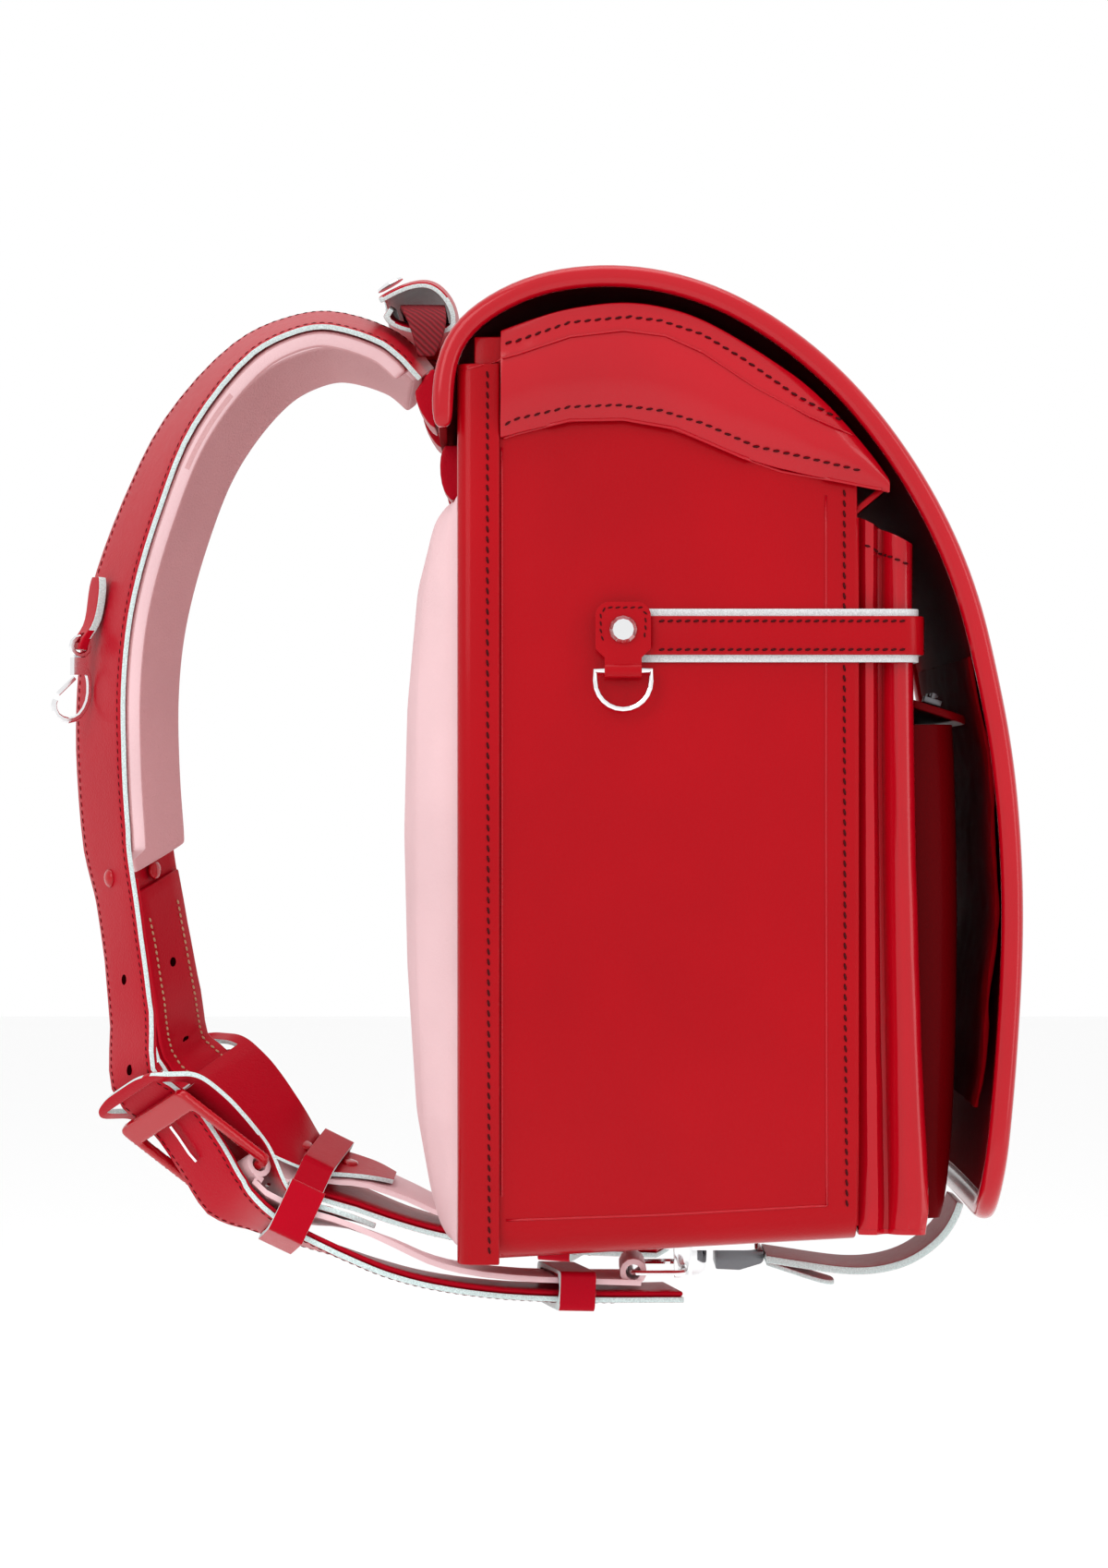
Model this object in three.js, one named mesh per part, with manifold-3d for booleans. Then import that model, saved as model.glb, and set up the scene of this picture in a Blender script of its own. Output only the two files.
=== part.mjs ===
// School ransel: a stiff leather satchel with a long flap, padded shoulder straps and a front pocket.
// Millimetres, +Z up. The origin is the crown of the back pad. +X points away from the wearer,
// +Y to the wearer's right, so that the side with the snap hook faces -Y.
import * as THREE from 'three';
import { mergeVertices } from 'three/addons/utils/BufferGeometryUtils.js';
import Module from 'manifold-3d';

// Main body
const bodyHeight = 350;
const bodyDepth = 140;
const bodyWidth = 241;
const baseDrop = 151.6;
const baseRise = 8;
const baseCorner = 12;
const padSwell = 20;
const padWidth = 211;
const padHeight = 0.766 * bodyHeight;
const padLift = 3;
const leather = 2.2;
const boardThickness = 3.4;
const gap = 0.3;
const bindingWidth = 14.8;
const bindingBackWidth = 14;
const bindingThickness = 2;
const bindingCorner = 5;
const bindingHeight = 0.9 * bodyHeight;
const frontWallHeight = 0.774 * bodyHeight;
const frontLean = 10;
const bandBulge = 6;
const bandThickness = 1.8;

// Front pocket, zip pocket and side belt
const pocketWidth = 232;
const pocketDepth = 20;
const pocketHeight = 252;
const pocketWall = 1.8;
const pleatDepth = 8;
const pocketSlope = 0.5;
const zipPocketWidth = 200;
const zipPocketDepth = 16;
const zipPocketHeight = 175;
const zipPocketFoot = 4.2;
const zipCorner = 9;
const lidThickness = 3.2;
const lidOverhang = 2;
const lidDrop = 5;
const sliderLength = 7;
const sliderWidth = 6.4;
const sliderHeight = 2.2;
const pullLength = 15;
const pullThickness = 1.2;
const beltLevel = 68.4;
const backingHeight = 18.7;
const backingThickness = 1.2;
const beltHeight = 13.6;
const beltThickness = 1.6;

// Side ring and its tab
const tabX = 78;
const tabWidth = 19.4;
const tabTop = 80;
const tabThickness = 2.2;
const tabNeck = 13;
const rivetDiameter = 9.7;
const rivetHeight = 2.2;
const ringLevel = 56;
const ringWire = 1;
const ringWidth = 19.6;
const ringDrop = 12.4;
const ringBore = 0.45;

// Flap
const flapOverhang = 58;
const flapDepth = bodyDepth + flapOverhang;
const flapWidth = 250;
const flapThickness = 3;
const flapCrown = 2;
const rimThickness = 8.2;
const rimWidth = 9;
const flapCorner = 26;
const pouchWidth = 196;
const pouchThickness = 1.6;
const pouchFoot = 40;
const closingBeltWidth = 40;
const closingBeltThickness = 3;

// Lock under the base
const lockX = 95;
const lockLength = 36;
const lockWidth = 48;
const lockDrop = 10;
const knobDiameter = 12;
const knobDrop = 12;
const bracketThickness = 1.6;
const bracketWidth = 10;
const earWidth = 9;

// Shoulder straps
const strapReach = 132;
const strapSpread = 88;
const strapWidth = 43;
const strapThickness = 2;
const strapPadThickness = 7;
const coreThickness = 1.9;
const beltStrapWidth = 31;
const beltStrapThickness = 2;
const frameLength = 38;
const frameWidth = 43;
const frameThickness = 3.4;
const frameBar = 3.2;
const framePlate = 9;
const prongWire = 0.9;
const guardWidth = 46;
const guardEndWidth = 26;
const guardThickness = 2;
const keeperWidth = 13;
const keeperThickness = 1.6;
const keeperPlay = 2.2;
const loopRadius = 4.8;
const strapRingX = 81.5;
const strapRingLength = 19;
const strapRingWire = 1;

// Snap hook on the near strap
const hookTabWidth = 11;
const hookTabThickness = 3;
const hookHoleWidth = 3.8;
const hookHoleLength = 3.7;
const hookHoleDrop = 3.2;
const hookWire = 1.1;
const eyeRadius = 3.3;

// Handle
const handleLength = 88;
const handleThickness = 2.2;
const handleArch = 5;
const webbingThickness = 2.2;

const wasm = await Module();
wasm.setup();
const bag = new THREE.Group();

const colours = {
  leather: { color: 0xa00818, roughness: 0.32, metalness: 0 },
  leatherDeep: { color: 0x86040f, roughness: 0.36, metalness: 0 },
  strapLeather: { color: 0xb0101e, roughness: 0.4, metalness: 0 },
  pad: { color: 0xe8d0d2, roughness: 0.6, metalness: 0 },
  lining: { color: 0xc9a0a2, roughness: 0.6, metalness: 0 },
  reflector: { color: 0xd7d7d7, roughness: 0.35, metalness: 0.2 },
  chrome: { color: 0xd2d2d4, roughness: 0.12, metalness: 1 },
  gunmetal: { color: 0x4a4a4c, roughness: 0.3, metalness: 1 },
  buckle: { color: 0xa80a16, roughness: 0.2, metalness: 0 },
  webbing: { color: 0x78000f, roughness: 0.85, metalness: 0 },
  pale: { color: 0xc8dcdc, roughness: 0.7, metalness: 0 },
};

function addPiece(name, geometry, finish) {
  const mesh = new THREE.Mesh(geometry, new THREE.MeshStandardMaterial(colours[finish]));
  mesh.name = name;
  bag.add(mesh);
}

// The face order is turned over where the faces would point inwards.
function closedGeometry(positions, faces) {
  let volume = 0;
  const a = new THREE.Vector3();
  const b = new THREE.Vector3();
  const c = new THREE.Vector3();
  for (const face of faces) {
    a.copy(positions[face[0]]);
    b.copy(positions[face[1]]);
    c.copy(positions[face[2]]);
    volume += a.dot(b.cross(c));
  }
  const geometry = new THREE.BufferGeometry();
  const order = volume < 0 ? faces.map((face) => [face[0], face[2], face[1]]) : faces;
  const coordinates = positions.flatMap((p) => [p.x, p.y, p.z]);
  geometry.setAttribute('position', new THREE.Float32BufferAttribute(coordinates, 3));
  geometry.setIndex(order.flat());
  return geometry;
}

// A wall between two grids of points of the same size, closed all round its edges.
function slab(outer, inner) {
  const rows = outer.length;
  const columns = outer[0].length;
  const positions = [...outer.flat(), ...inner.flat()];
  const at = (side, row, column) => side * rows * columns + row * columns + column;
  const faces = [];
  const quad = (a, b, c, d) => faces.push([a, b, c], [a, c, d]);
  for (let r = 0; r < rows - 1; r += 1) {
    for (let c = 0; c < columns - 1; c += 1) {
      quad(at(0, r, c), at(0, r, c + 1), at(0, r + 1, c + 1), at(0, r + 1, c));
      quad(at(1, r, c), at(1, r + 1, c), at(1, r + 1, c + 1), at(1, r, c + 1));
    }
  }
  for (let c = 0; c < columns - 1; c += 1) {
    quad(at(0, 0, c + 1), at(0, 0, c), at(1, 0, c), at(1, 0, c + 1));
    quad(at(0, rows - 1, c), at(0, rows - 1, c + 1), at(1, rows - 1, c + 1), at(1, rows - 1, c));
  }
  for (let r = 0; r < rows - 1; r += 1) {
    quad(at(0, r, 0), at(0, r + 1, 0), at(1, r + 1, 0), at(1, r, 0));
    quad(at(0, r + 1, columns - 1), at(0, r, columns - 1), at(1, r, columns - 1), at(1, r + 1, columns - 1));
  }
  return closedGeometry(positions, faces);
}

// A solid through loops of points, with a fan at each end, or joined end to end as a ring.
function loft(loops, ring = false) {
  const count = loops[0].length;
  const positions = loops.flat();
  const faces = [];
  const last = ring ? loops.length : loops.length - 1;
  for (let r = 0; r < last; r += 1) {
    const next = (r + 1) % loops.length;
    for (let i = 0; i < count; i += 1) {
      const j = (i + 1) % count;
      faces.push([r * count + i, r * count + j, next * count + j]);
      faces.push([r * count + i, next * count + j, next * count + i]);
    }
  }
  if (!ring) {
    for (const end of [0, loops.length - 1]) {
      const middle = new THREE.Vector3();
      loops[end].forEach((p) => middle.add(p));
      positions.push(middle.divideScalar(count));
      const hub = positions.length - 1;
      for (let i = 0; i < count; i += 1) {
        const pair = [end * count + i, end * count + ((i + 1) % count)];
        faces.push(end === 0 ? [pair[1], pair[0], hub] : [pair[0], pair[1], hub]);
      }
    }
  }
  return closedGeometry(positions, faces);
}

// A round wire along points in one plane, whose normal is given.
function wire(points, radius, planeNormal, ring = false, sides = 8) {
  const loops = points.map((point, k) => {
    const before = points[ring ? (k + points.length - 1) % points.length : Math.max(k - 1, 0)];
    const after = points[ring ? (k + 1) % points.length : Math.min(k + 1, points.length - 1)];
    const along = after.clone().sub(before).normalize();
    const across = new THREE.Vector3().crossVectors(planeNormal, along).normalize();
    const loop = [];
    for (let i = 0; i < sides; i += 1) {
      const angle = (2 * Math.PI * i) / sides;
      const offset = across.clone().multiplyScalar(radius * Math.cos(angle));
      loop.push(point.clone().add(offset).addScaledVector(planeNormal, radius * Math.sin(angle)));
    }
    return loop;
  });
  return loft(loops, ring);
}

function toSolid(geometry) {
  const bare = geometry.clone();
  bare.deleteAttribute('normal');
  bare.deleteAttribute('uv');
  const merged = mergeVertices(bare, 1e-4);
  return new wasm.Manifold(new wasm.Mesh({
    numProp: 3,
    vertProperties: new Float32Array(merged.attributes.position.array),
    triVerts: new Uint32Array(merged.index.array),
  }));
}

function toGeometry(solid) {
  const mesh = solid.getMesh();
  const geometry = new THREE.BufferGeometry();
  geometry.setAttribute('position', new THREE.BufferAttribute(new Float32Array(mesh.vertProperties), 3));
  geometry.setIndex([...mesh.triVerts]);
  return geometry;
}

function join(...geometries) {
  return toGeometry(geometries.map(toSolid).reduce((whole, piece) => whole.add(piece)));
}

function cut(geometry, ...tools) {
  return toGeometry(tools.map(toSolid).reduce((whole, tool) => whole.subtract(tool), toSolid(geometry)));
}

// A smooth value between the rows of a table, at a share of the first column.
function fromTable(table, key, column, value) {
  if (value <= table[0][key]) return table[0][column];
  for (let i = 1; i < table.length; i += 1) {
    const low = table[i - 1];
    const high = table[i];
    if (value <= high[key]) {
      const part = (value - low[key]) / (high[key] - low[key]);
      return low[column] + (high[column] - low[column]) * part;
    }
  }
  return table[table.length - 1][column];
}

// The same line moved sideways, with mitred corners.
function offsetLine(points, distance) {
  return points.map((point, k) => {
    const before = points[Math.max(k - 1, 0)];
    const after = points[Math.min(k + 1, points.length - 1)];
    const first = point.clone().sub(before).normalize();
    const second = after.clone().sub(point).normalize();
    if (k === 0) first.copy(second);
    if (k === points.length - 1) second.copy(first);
    const normalA = new THREE.Vector2(-first.y, first.x);
    const normalB = new THREE.Vector2(-second.y, second.x);
    const middle = normalA.clone().add(normalB).normalize();
    const scale = distance / Math.max(middle.dot(normalA), 0.5);
    return point.clone().addScaledVector(middle, scale);
  });
}

function extrudeAlong(shape, length, matrix, curveSegments = 6) {
  const geometry = new THREE.ExtrudeGeometry(shape, { depth: length, bevelEnabled: false, curveSegments });
  return geometry.applyMatrix4(matrix);
}

function basis(xAxis, yAxis, zAxis, origin) {
  return new THREE.Matrix4().makeBasis(xAxis, yAxis, zAxis).setPosition(origin);
}

function roundedShape(halfWidth, low, high, radius) {
  const shape = new THREE.Shape();
  shape.moveTo(-halfWidth + radius, low);
  shape.lineTo(halfWidth - radius, low);
  shape.absarc(halfWidth - radius, low + radius, radius, -Math.PI / 2, 0);
  shape.lineTo(halfWidth, high - radius);
  shape.absarc(halfWidth - radius, high - radius, radius, 0, Math.PI / 2);
  shape.lineTo(-halfWidth + radius, high);
  shape.absarc(-halfWidth + radius, high - radius, radius, Math.PI / 2, Math.PI);
  shape.lineTo(-halfWidth, low + radius);
  shape.absarc(-halfWidth + radius, low + radius, radius, Math.PI, Math.PI * 1.5);
  return shape;
}

const xAxis = new THREE.Vector3(1, 0, 0);
const yAxis = new THREE.Vector3(0, 1, 0);
const zAxis = new THREE.Vector3(0, 0, 1);
const backX = padSwell;
const frontX = backX + bodyDepth;
const halfBody = bodyWidth / 2;
const halfGusset = halfBody - bindingThickness - gap;
const sides = [{ side: 'left', sign: -1 }, { side: 'right', sign: 1 }];

function baseZ(x) {
  return -baseDrop + (baseRise * (x - backX)) / bodyDepth;
}

// Shaped band along the top of each side. Along is a share of the body's depth, the rest of its height.
const bandTable = [
  { along: 0.125, top: 0.933, bottom: 0.826 },
  { along: 0.2, top: 0.947, bottom: 0.837 },
  { along: 0.3, top: 0.957, bottom: 0.843 },
  { along: 0.415, top: 0.962, bottom: 0.844 },
  { along: 0.53, top: 0.957, bottom: 0.836 },
  { along: 0.65, top: 0.938, bottom: 0.815 },
  { along: 0.78, top: 0.905, bottom: 0.797 },
  { along: 0.88, top: 0.879, bottom: 0.788 },
  { along: 0.97, top: 0.843, bottom: 0.781 },
  { along: 1.08, top: 0.785, bottom: 0.771 },
];

function bandZ(x, column) {
  return -baseDrop + bodyHeight * fromTable(bandTable, 'along', column, (x - backX) / bodyDepth);
}

// Main gusset: both sides and the bottom in one piece, with rounded lower corners.
function mainGusset() {
  const stations = 14;
  const start = backX + bindingThickness + boardThickness + 2 * gap;
  const topMargin = 2;
  const outer = [];
  const inner = [];
  for (let k = 0; k <= stations; k += 1) {
    const x = start + ((frontX - start) * k) / stations;
    const top = bandZ(x, 'top') - topMargin;
    for (const [rows, inset] of [[outer, 0], [inner, leather]]) {
      const half = halfGusset - inset;
      const low = baseZ(x) + inset;
      const radius = baseCorner - inset;
      const row = [];
      for (const sign of [-1, 1]) {
        const corner = [];
        for (let i = 0; i <= 4; i += 1) {
          const angle = (Math.PI / 2) * (i / 4);
          const y = sign * (half - radius + radius * Math.cos(angle));
          corner.push(new THREE.Vector3(x, y, low + radius - radius * Math.sin(angle)));
        }
        corner.unshift(new THREE.Vector3(x, sign * half, top));
        row.push(...(sign < 0 ? corner : corner.reverse()));
      }
      rows.push(row);
    }
  }
  addPiece('main_gusset', slab(outer, inner), 'leather');
}

function backBoard() {
  const half = halfGusset - 2.2;
  const top = -baseDrop + bindingHeight - gap;
  const shape = roundedShape(half, -baseDrop + gap, top, baseCorner);
  const place = basis(yAxis, zAxis, xAxis, new THREE.Vector3(backX + bindingThickness + gap, 0, 0));
  addPiece('back_board', extrudeAlong(shape, boardThickness, place, 3), 'leather');
}

// Back pad: one crowned cushion. Up is a share of its height, swell a share of its depth.
const padTable = [
  { up: 0, swell: 0.02 },
  { up: 0.02, swell: 0.3 },
  { up: 0.07, swell: 0.5 },
  { up: 0.17, swell: 0.76 },
  { up: 0.37, swell: 0.94 },
  { up: 0.55, swell: 1 },
  { up: 0.72, swell: 0.94 },
  { up: 0.88, swell: 0.74 },
  { up: 0.97, swell: 0.42 },
  { up: 1, swell: 0.08 },
];

function backPad() {
  const columns = 12;
  const half = padWidth / 2;
  const seat = backX + bindingThickness;
  const outer = [];
  const inner = [];
  for (const row of padTable) {
    const z = -baseDrop + padLift + row.up * padHeight;
    const front = [];
    const back = [];
    for (let c = 0; c <= columns; c += 1) {
      const share = (2 * c) / columns - 1;
      const crown = Math.sqrt(Math.max(1 - Math.abs(share) ** 4, 0));
      const y = share * half;
      front.push(new THREE.Vector3(backX - 0.4 - (padSwell - 0.4) * row.swell * crown, y, z));
      back.push(new THREE.Vector3(seat, y, z));
    }
    outer.push(front);
    inner.push(back);
  }
  addPiece('back_pad', slab(outer, inner), 'pad');
}

// Edge bindings: leather folded round each upright back corner.
function edgeBinding(side, sign) {
  const line = [new THREE.Vector2(backX + bindingWidth, halfBody)];
  for (let i = 0; i <= 4; i += 1) {
    const angle = (Math.PI / 2) * (i / 4);
    const x = backX + bindingCorner - bindingCorner * Math.sin(angle);
    line.push(new THREE.Vector2(x, halfBody - bindingCorner + bindingCorner * Math.cos(angle)));
  }
  line.push(new THREE.Vector2(backX, halfBody - bindingBackWidth));
  const inside = offsetLine(line, bindingThickness);
  const levels = [-baseDrop, -baseDrop + bindingHeight];
  const lift = (points, z) => points.map((p) => new THREE.Vector3(p.x, sign * p.y, z));
  const outer = levels.map((z) => lift(line, z));
  const inner = levels.map((z) => lift(inside, z));
  addPiece(`edge_binding_${side}`, slab(outer, inner), 'leather');
}

function frontWall() {
  const half = halfGusset - leather - gap;
  const radius = baseCorner - leather - gap;
  const foot = baseZ(frontX) + leather + gap;
  const top = -baseDrop + frontWallHeight;
  const corner = [];
  for (let i = 0; i <= 4; i += 1) {
    const angle = (Math.PI / 2) * (i / 4);
    corner.push({ y: half - radius + radius * Math.cos(angle), rise: radius - radius * Math.sin(angle) });
  }
  const places = [...corner, ...corner.map(({ y, rise }) => ({ y: -y, rise })).reverse()];
  const outer = [];
  const inner = [];
  for (const { y, rise } of places) {
    const line = [
      new THREE.Vector2(frontX - gap, foot + rise),
      new THREE.Vector2(frontX - gap, top - frontLean * 0.85),
      new THREE.Vector2(frontX + frontLean, top),
    ];
    outer.push(line.map((p) => new THREE.Vector3(p.x, y, p.y)));
    inner.push(offsetLine(line, leather).map((p) => new THREE.Vector3(p.x, y, p.y)));
  }
  addPiece('front_wall', slab(outer, inner), 'leather');
}

function topBand(side, sign) {
  const seat = halfGusset + gap;
  const startX = backX + bindingWidth + gap;
  const endX = backX + bodyDepth * 1.08;
  const stations = 13;
  const rounds = 4;
  const outer = [];
  const inner = [];
  for (let k = 0; k <= stations; k += 1) {
    const x = startX + ((endX - startX) * k) / stations;
    const top = bandZ(x, 'top');
    const bottom = bandZ(x, 'bottom');
    const height = Math.min((top - bottom) / 30, 1);
    const front = [];
    const back = [];
    for (let i = 0; i <= rounds; i += 1) {
      const share = i / rounds;
      const bulge = bandBulge * height * Math.sin(Math.PI * share) ** 0.8;
      const z = bottom + (top - bottom) * share;
      front.push(new THREE.Vector3(x, sign * (seat + bandThickness + bulge), z));
      back.push(new THREE.Vector3(x, sign * seat, z));
    }
    outer.push(front);
    inner.push(back);
  }
  addPiece(`top_band_${side}`, slab(outer, inner), 'leather');
}

// Pleated front pocket. Out is a share of its depth, in a share of the pleat's depth.
const pleatTable = [
  { out: 0.02, in: 0.45 },
  { out: 0.14, in: 0.1 },
  { out: 0.28, in: 0.15 },
  { out: 0.38, in: 0.95 },
  { out: 0.45, in: 1 },
  { out: 0.54, in: 0.3 },
  { out: 0.7, in: 0 },
  { out: 0.88, in: 0.1 },
  { out: 0.97, in: 0.35 },
  { out: 1, in: 0.8 },
  { out: 1, in: 3 },
];

// The pocket's front by level: up is a share of its height, deep a multiple of its depth.
const pocketLevels = [
  { up: 0, deep: 1.22, fold: 0.5 },
  { up: 0.03, deep: 1.28, fold: 0.8 },
  { up: 0.1, deep: 1.26, fold: 1 },
  { up: 0.3, deep: 1.14, fold: 1 },
  { up: 0.6, deep: 1.03, fold: 1 },
  { up: 0.85, deep: 1, fold: 1 },
  { up: 1, deep: 1, fold: 0.9 },
];

const pocketBack = frontX + gap;
const pocketFoot = baseZ(frontX) + 2;

function pocketFront(z) {
  const share = THREE.MathUtils.clamp((z - pocketFoot) / pocketHeight, 0, 1);
  return pocketBack + pocketDepth * fromTable(pocketLevels, 'up', 'deep', share);
}

function pocketLine(level) {
  const half = pocketWidth / 2;
  const left = pleatTable.map((row) => new THREE.Vector2(
    pocketBack + row.out * pocketDepth * level.deep,
    -(half - row.in * pleatDepth * level.fold),
  ));
  const right = left.map((p) => new THREE.Vector2(p.x, -p.y)).reverse();
  return [...left, ...right];
}

function frontPocket() {
  const outer = [];
  const inner = [];
  for (const level of pocketLevels) {
    const line = pocketLine(level);
    const inside = offsetLine(line, pocketWall);
    const z = pocketFoot + level.up * pocketHeight;
    const slope = level.up === 1 ? pocketSlope : 0;
    const lift = (p) => new THREE.Vector3(p.x, p.y, z - slope * (p.x - pocketBack));
    outer.push(line.map(lift));
    inner.push(inside.map(lift));
  }
  const shell = slab(outer, inner);
  const floorLine = pocketLine(pocketLevels[0]);
  const floorShape = new THREE.Shape(floorLine);
  const place = basis(xAxis, yAxis, zAxis, new THREE.Vector3(0, 0, pocketFoot));
  const floor = extrudeAlong(floorShape, pocketWall, place);
  addPiece('front_pocket', join(shell, floor), 'leather');
}

const zipFoot = pocketFoot + zipPocketFoot;
const zipTop = zipFoot + zipPocketHeight;

// Zip pocket by level: deep is a multiple of its depth.
const zipLevels = [
  { up: 0, deep: 0.35 },
  { up: 0.02, deep: 0.41 },
  { up: 0.12, deep: 0.62 },
  { up: 0.32, deep: 0.84 },
  { up: 0.6, deep: 1 },
  { up: 0.88, deep: 1.02 },
  { up: 1, deep: 0.97 },
];

function zipLine(z, deep, half) {
  const back = pocketFront(z) + gap;
  const front = back + zipPocketDepth * deep;
  const radius = Math.min(zipCorner, zipPocketDepth * deep * 0.8);
  const left = [new THREE.Vector2(back, -half)];
  for (let i = 0; i <= 4; i += 1) {
    const angle = (Math.PI / 2) * (i / 4);
    const x = front - radius + radius * Math.sin(angle);
    left.push(new THREE.Vector2(x, -(half - radius + radius * Math.cos(angle))));
  }
  const right = left.map((p) => new THREE.Vector2(p.x, -p.y)).reverse();
  return [...left, ...right];
}

function zipPocket() {
  const half = zipPocketWidth / 2;
  const outer = [];
  const inner = [];
  for (const level of zipLevels) {
    const z = zipFoot + level.up * zipPocketHeight;
    const line = zipLine(z, level.deep, half);
    const inside = offsetLine(line, pocketWall);
    outer.push(line.map((p) => new THREE.Vector3(p.x, p.y, z)));
    inner.push(inside.map((p) => new THREE.Vector3(p.x, p.y, z)));
  }
  const floorShape = new THREE.Shape(zipLine(zipFoot, zipLevels[0].deep, half));
  const place = basis(xAxis, yAxis, zAxis, new THREE.Vector3(0, 0, zipFoot));
  const floor = extrudeAlong(floorShape, pocketWall, place);
  addPiece('zip_pocket', join(slab(outer, inner), floor), 'leatherDeep');

  const half2 = half + lidOverhang;
  const lidLine = zipLine(zipTop, 1 + (2 * lidOverhang) / zipPocketDepth, half2);
  const lidBack = lidLine[0].x;
  const drop = (p) => (lidDrop * (p.x - lidBack)) / zipPocketDepth;
  const rows = lidLine.slice(0, lidLine.length / 2);
  const lidLevel = zipTop + gap + lidDrop * (1 + lidOverhang / zipPocketDepth);
  const grid = (lift) => rows.map((p) => [p.y, -p.y].map((y) => (
    new THREE.Vector3(p.x, y, lidLevel + lift - drop(p)))));
  addPiece('zip_pocket_lid', slab(grid(lidThickness), grid(0)), 'leatherDeep');

  // Slider on the near end of the lid, with its pull lying on it.
  const sliderX = lidBack + zipPocketDepth * 0.45;
  const sliderY = -half + sliderLength;
  const body = new THREE.BoxGeometry(sliderWidth, sliderLength, sliderHeight);
  body.translate(0, 0, sliderHeight / 2);
  const stem = new THREE.BoxGeometry(sliderWidth * 0.28, sliderLength * 0.5, sliderHeight * 1.4);
  stem.translate(0, 0, sliderHeight * 1.2);
  const pull = new THREE.BoxGeometry(sliderWidth * 0.5, pullLength, pullThickness);
  pull.translate(0, pullLength / 2, sliderHeight * 1.5);
  const slider = join(body, stem, pull);
  slider.rotateY(Math.atan(lidDrop / zipPocketDepth));
  slider.translate(sliderX, sliderY, lidLevel + lidThickness + gap - drop({ x: sliderX }));
  addPiece('zip_pull', slider, 'gunmetal');
}

// Side belt: it runs from under the tab on one side, round the pocket's front, to the other side.
function beltLine(offset) {
  const half = halfGusset + gap + offset;
  const front = pocketFront(beltLevel) + gap + offset;
  const corner = 5 + offset;
  const left = [new THREE.Vector2(tabX - 6, -half), new THREE.Vector2(frontX * 0.9, -half)];
  for (let i = 0; i <= 5; i += 1) {
    const angle = (Math.PI / 2) * (i / 5);
    const x = front - corner + corner * Math.sin(angle);
    left.push(new THREE.Vector2(x, -(half - corner + corner * Math.cos(angle))));
  }
  const right = left.map((p) => new THREE.Vector2(p.x, -p.y)).reverse();
  return [...left, ...right];
}

function sideBelt() {
  const layers = [
    { name: 'side_belt_backing', height: backingHeight, from: 0, to: backingThickness, finish: 'reflector' },
    {
      name: 'side_belt_leather',
      height: beltHeight,
      from: backingThickness + gap,
      to: backingThickness + gap + beltThickness,
      finish: 'leather',
    },
  ];
  for (const layer of layers) {
    const levels = [beltLevel - layer.height / 2, beltLevel + layer.height / 2];
    const rows = (offset) => levels.map((z) => beltLine(offset).map((p) => new THREE.Vector3(p.x, p.y, z)));
    addPiece(layer.name, slab(rows(layer.to), rows(layer.from)), layer.finish);
  }
}

const tabInner = halfGusset + gap + backingThickness + gap + beltThickness + gap;
const ringY = tabInner + tabThickness / 2;

// Tab with a rolled lower end that holds the ring's bar.
function sideTab(side, sign) {
  const neckTop = ringLevel + 4.6;
  const rollRadius = ringWire + ringBore + 1.2;
  const outline = new THREE.Shape();
  outline.moveTo(-tabNeck / 2, ringLevel);
  outline.lineTo(tabNeck / 2, ringLevel);
  outline.lineTo(tabNeck / 2, neckTop);
  outline.lineTo(tabWidth / 2, neckTop + 3);
  outline.lineTo(tabWidth / 2, tabTop - 5);
  outline.absarc(tabWidth / 2 - 5, tabTop - 5, 5, 0, Math.PI / 2);
  outline.absarc(-tabWidth / 2 + 5, tabTop - 5, 5, Math.PI / 2, Math.PI);
  outline.lineTo(-tabWidth / 2, neckTop + 3);
  outline.lineTo(-tabNeck / 2, neckTop);
  const depthStart = sign < 0 ? -(tabInner + tabThickness) : tabInner;
  const place = basis(xAxis, zAxis, yAxis.clone().negate(), new THREE.Vector3(tabX, 0, 0));
  const plate = extrudeAlong(outline, tabThickness, place);
  plate.translate(0, depthStart + tabThickness, 0);
  const along = (radius, length) => {
    const rod = new THREE.CylinderGeometry(radius, radius, length, 14).rotateZ(Math.PI / 2);
    return rod.translate(tabX, sign * ringY, ringLevel);
  };
  const roll = along(rollRadius, tabNeck);
  const bore = along(ringWire + ringBore, tabNeck * 1.5);
  addPiece(`dring_tab_${side}`, cut(join(plate, roll), bore), 'leather');

  const seat = tabInner + tabThickness + gap;
  const profile = [
    new THREE.Vector2(0, 0),
    new THREE.Vector2(rivetDiameter / 2, 0),
    new THREE.Vector2(rivetDiameter / 2, rivetHeight * 0.4),
    new THREE.Vector2(rivetDiameter * 0.38, rivetHeight),
    new THREE.Vector2(0, rivetHeight),
  ];
  const rivet = new THREE.LatheGeometry(profile, 12);
  if (sign < 0) rivet.rotateX(Math.PI);
  rivet.translate(tabX, sign * seat, (tabTop + neckTop) / 2);
  addPiece(`dring_rivet_${side}`, mergeLathe(rivet), 'chrome');

  const points = [];
  const half = ringWidth / 2;
  points.push(new THREE.Vector3(tabX - half, sign * ringY, ringLevel));
  for (let i = 1; i <= 4; i += 1) {
    points.push(new THREE.Vector3(tabX - half + (ringWidth * i) / 5, sign * ringY, ringLevel));
  }
  points.push(new THREE.Vector3(tabX + half, sign * ringY, ringLevel));
  const drop = ringDrop - half + 1;
  for (let i = 0; i <= 12; i += 1) {
    const angle = (Math.PI * i) / 12;
    const x = tabX + half * Math.cos(angle);
    points.push(new THREE.Vector3(x, sign * ringY, ringLevel - drop - half * Math.sin(angle)));
  }
  addPiece(`dring_${side}`, wire(points, ringWire, yAxis, true), 'chrome');
}

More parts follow.
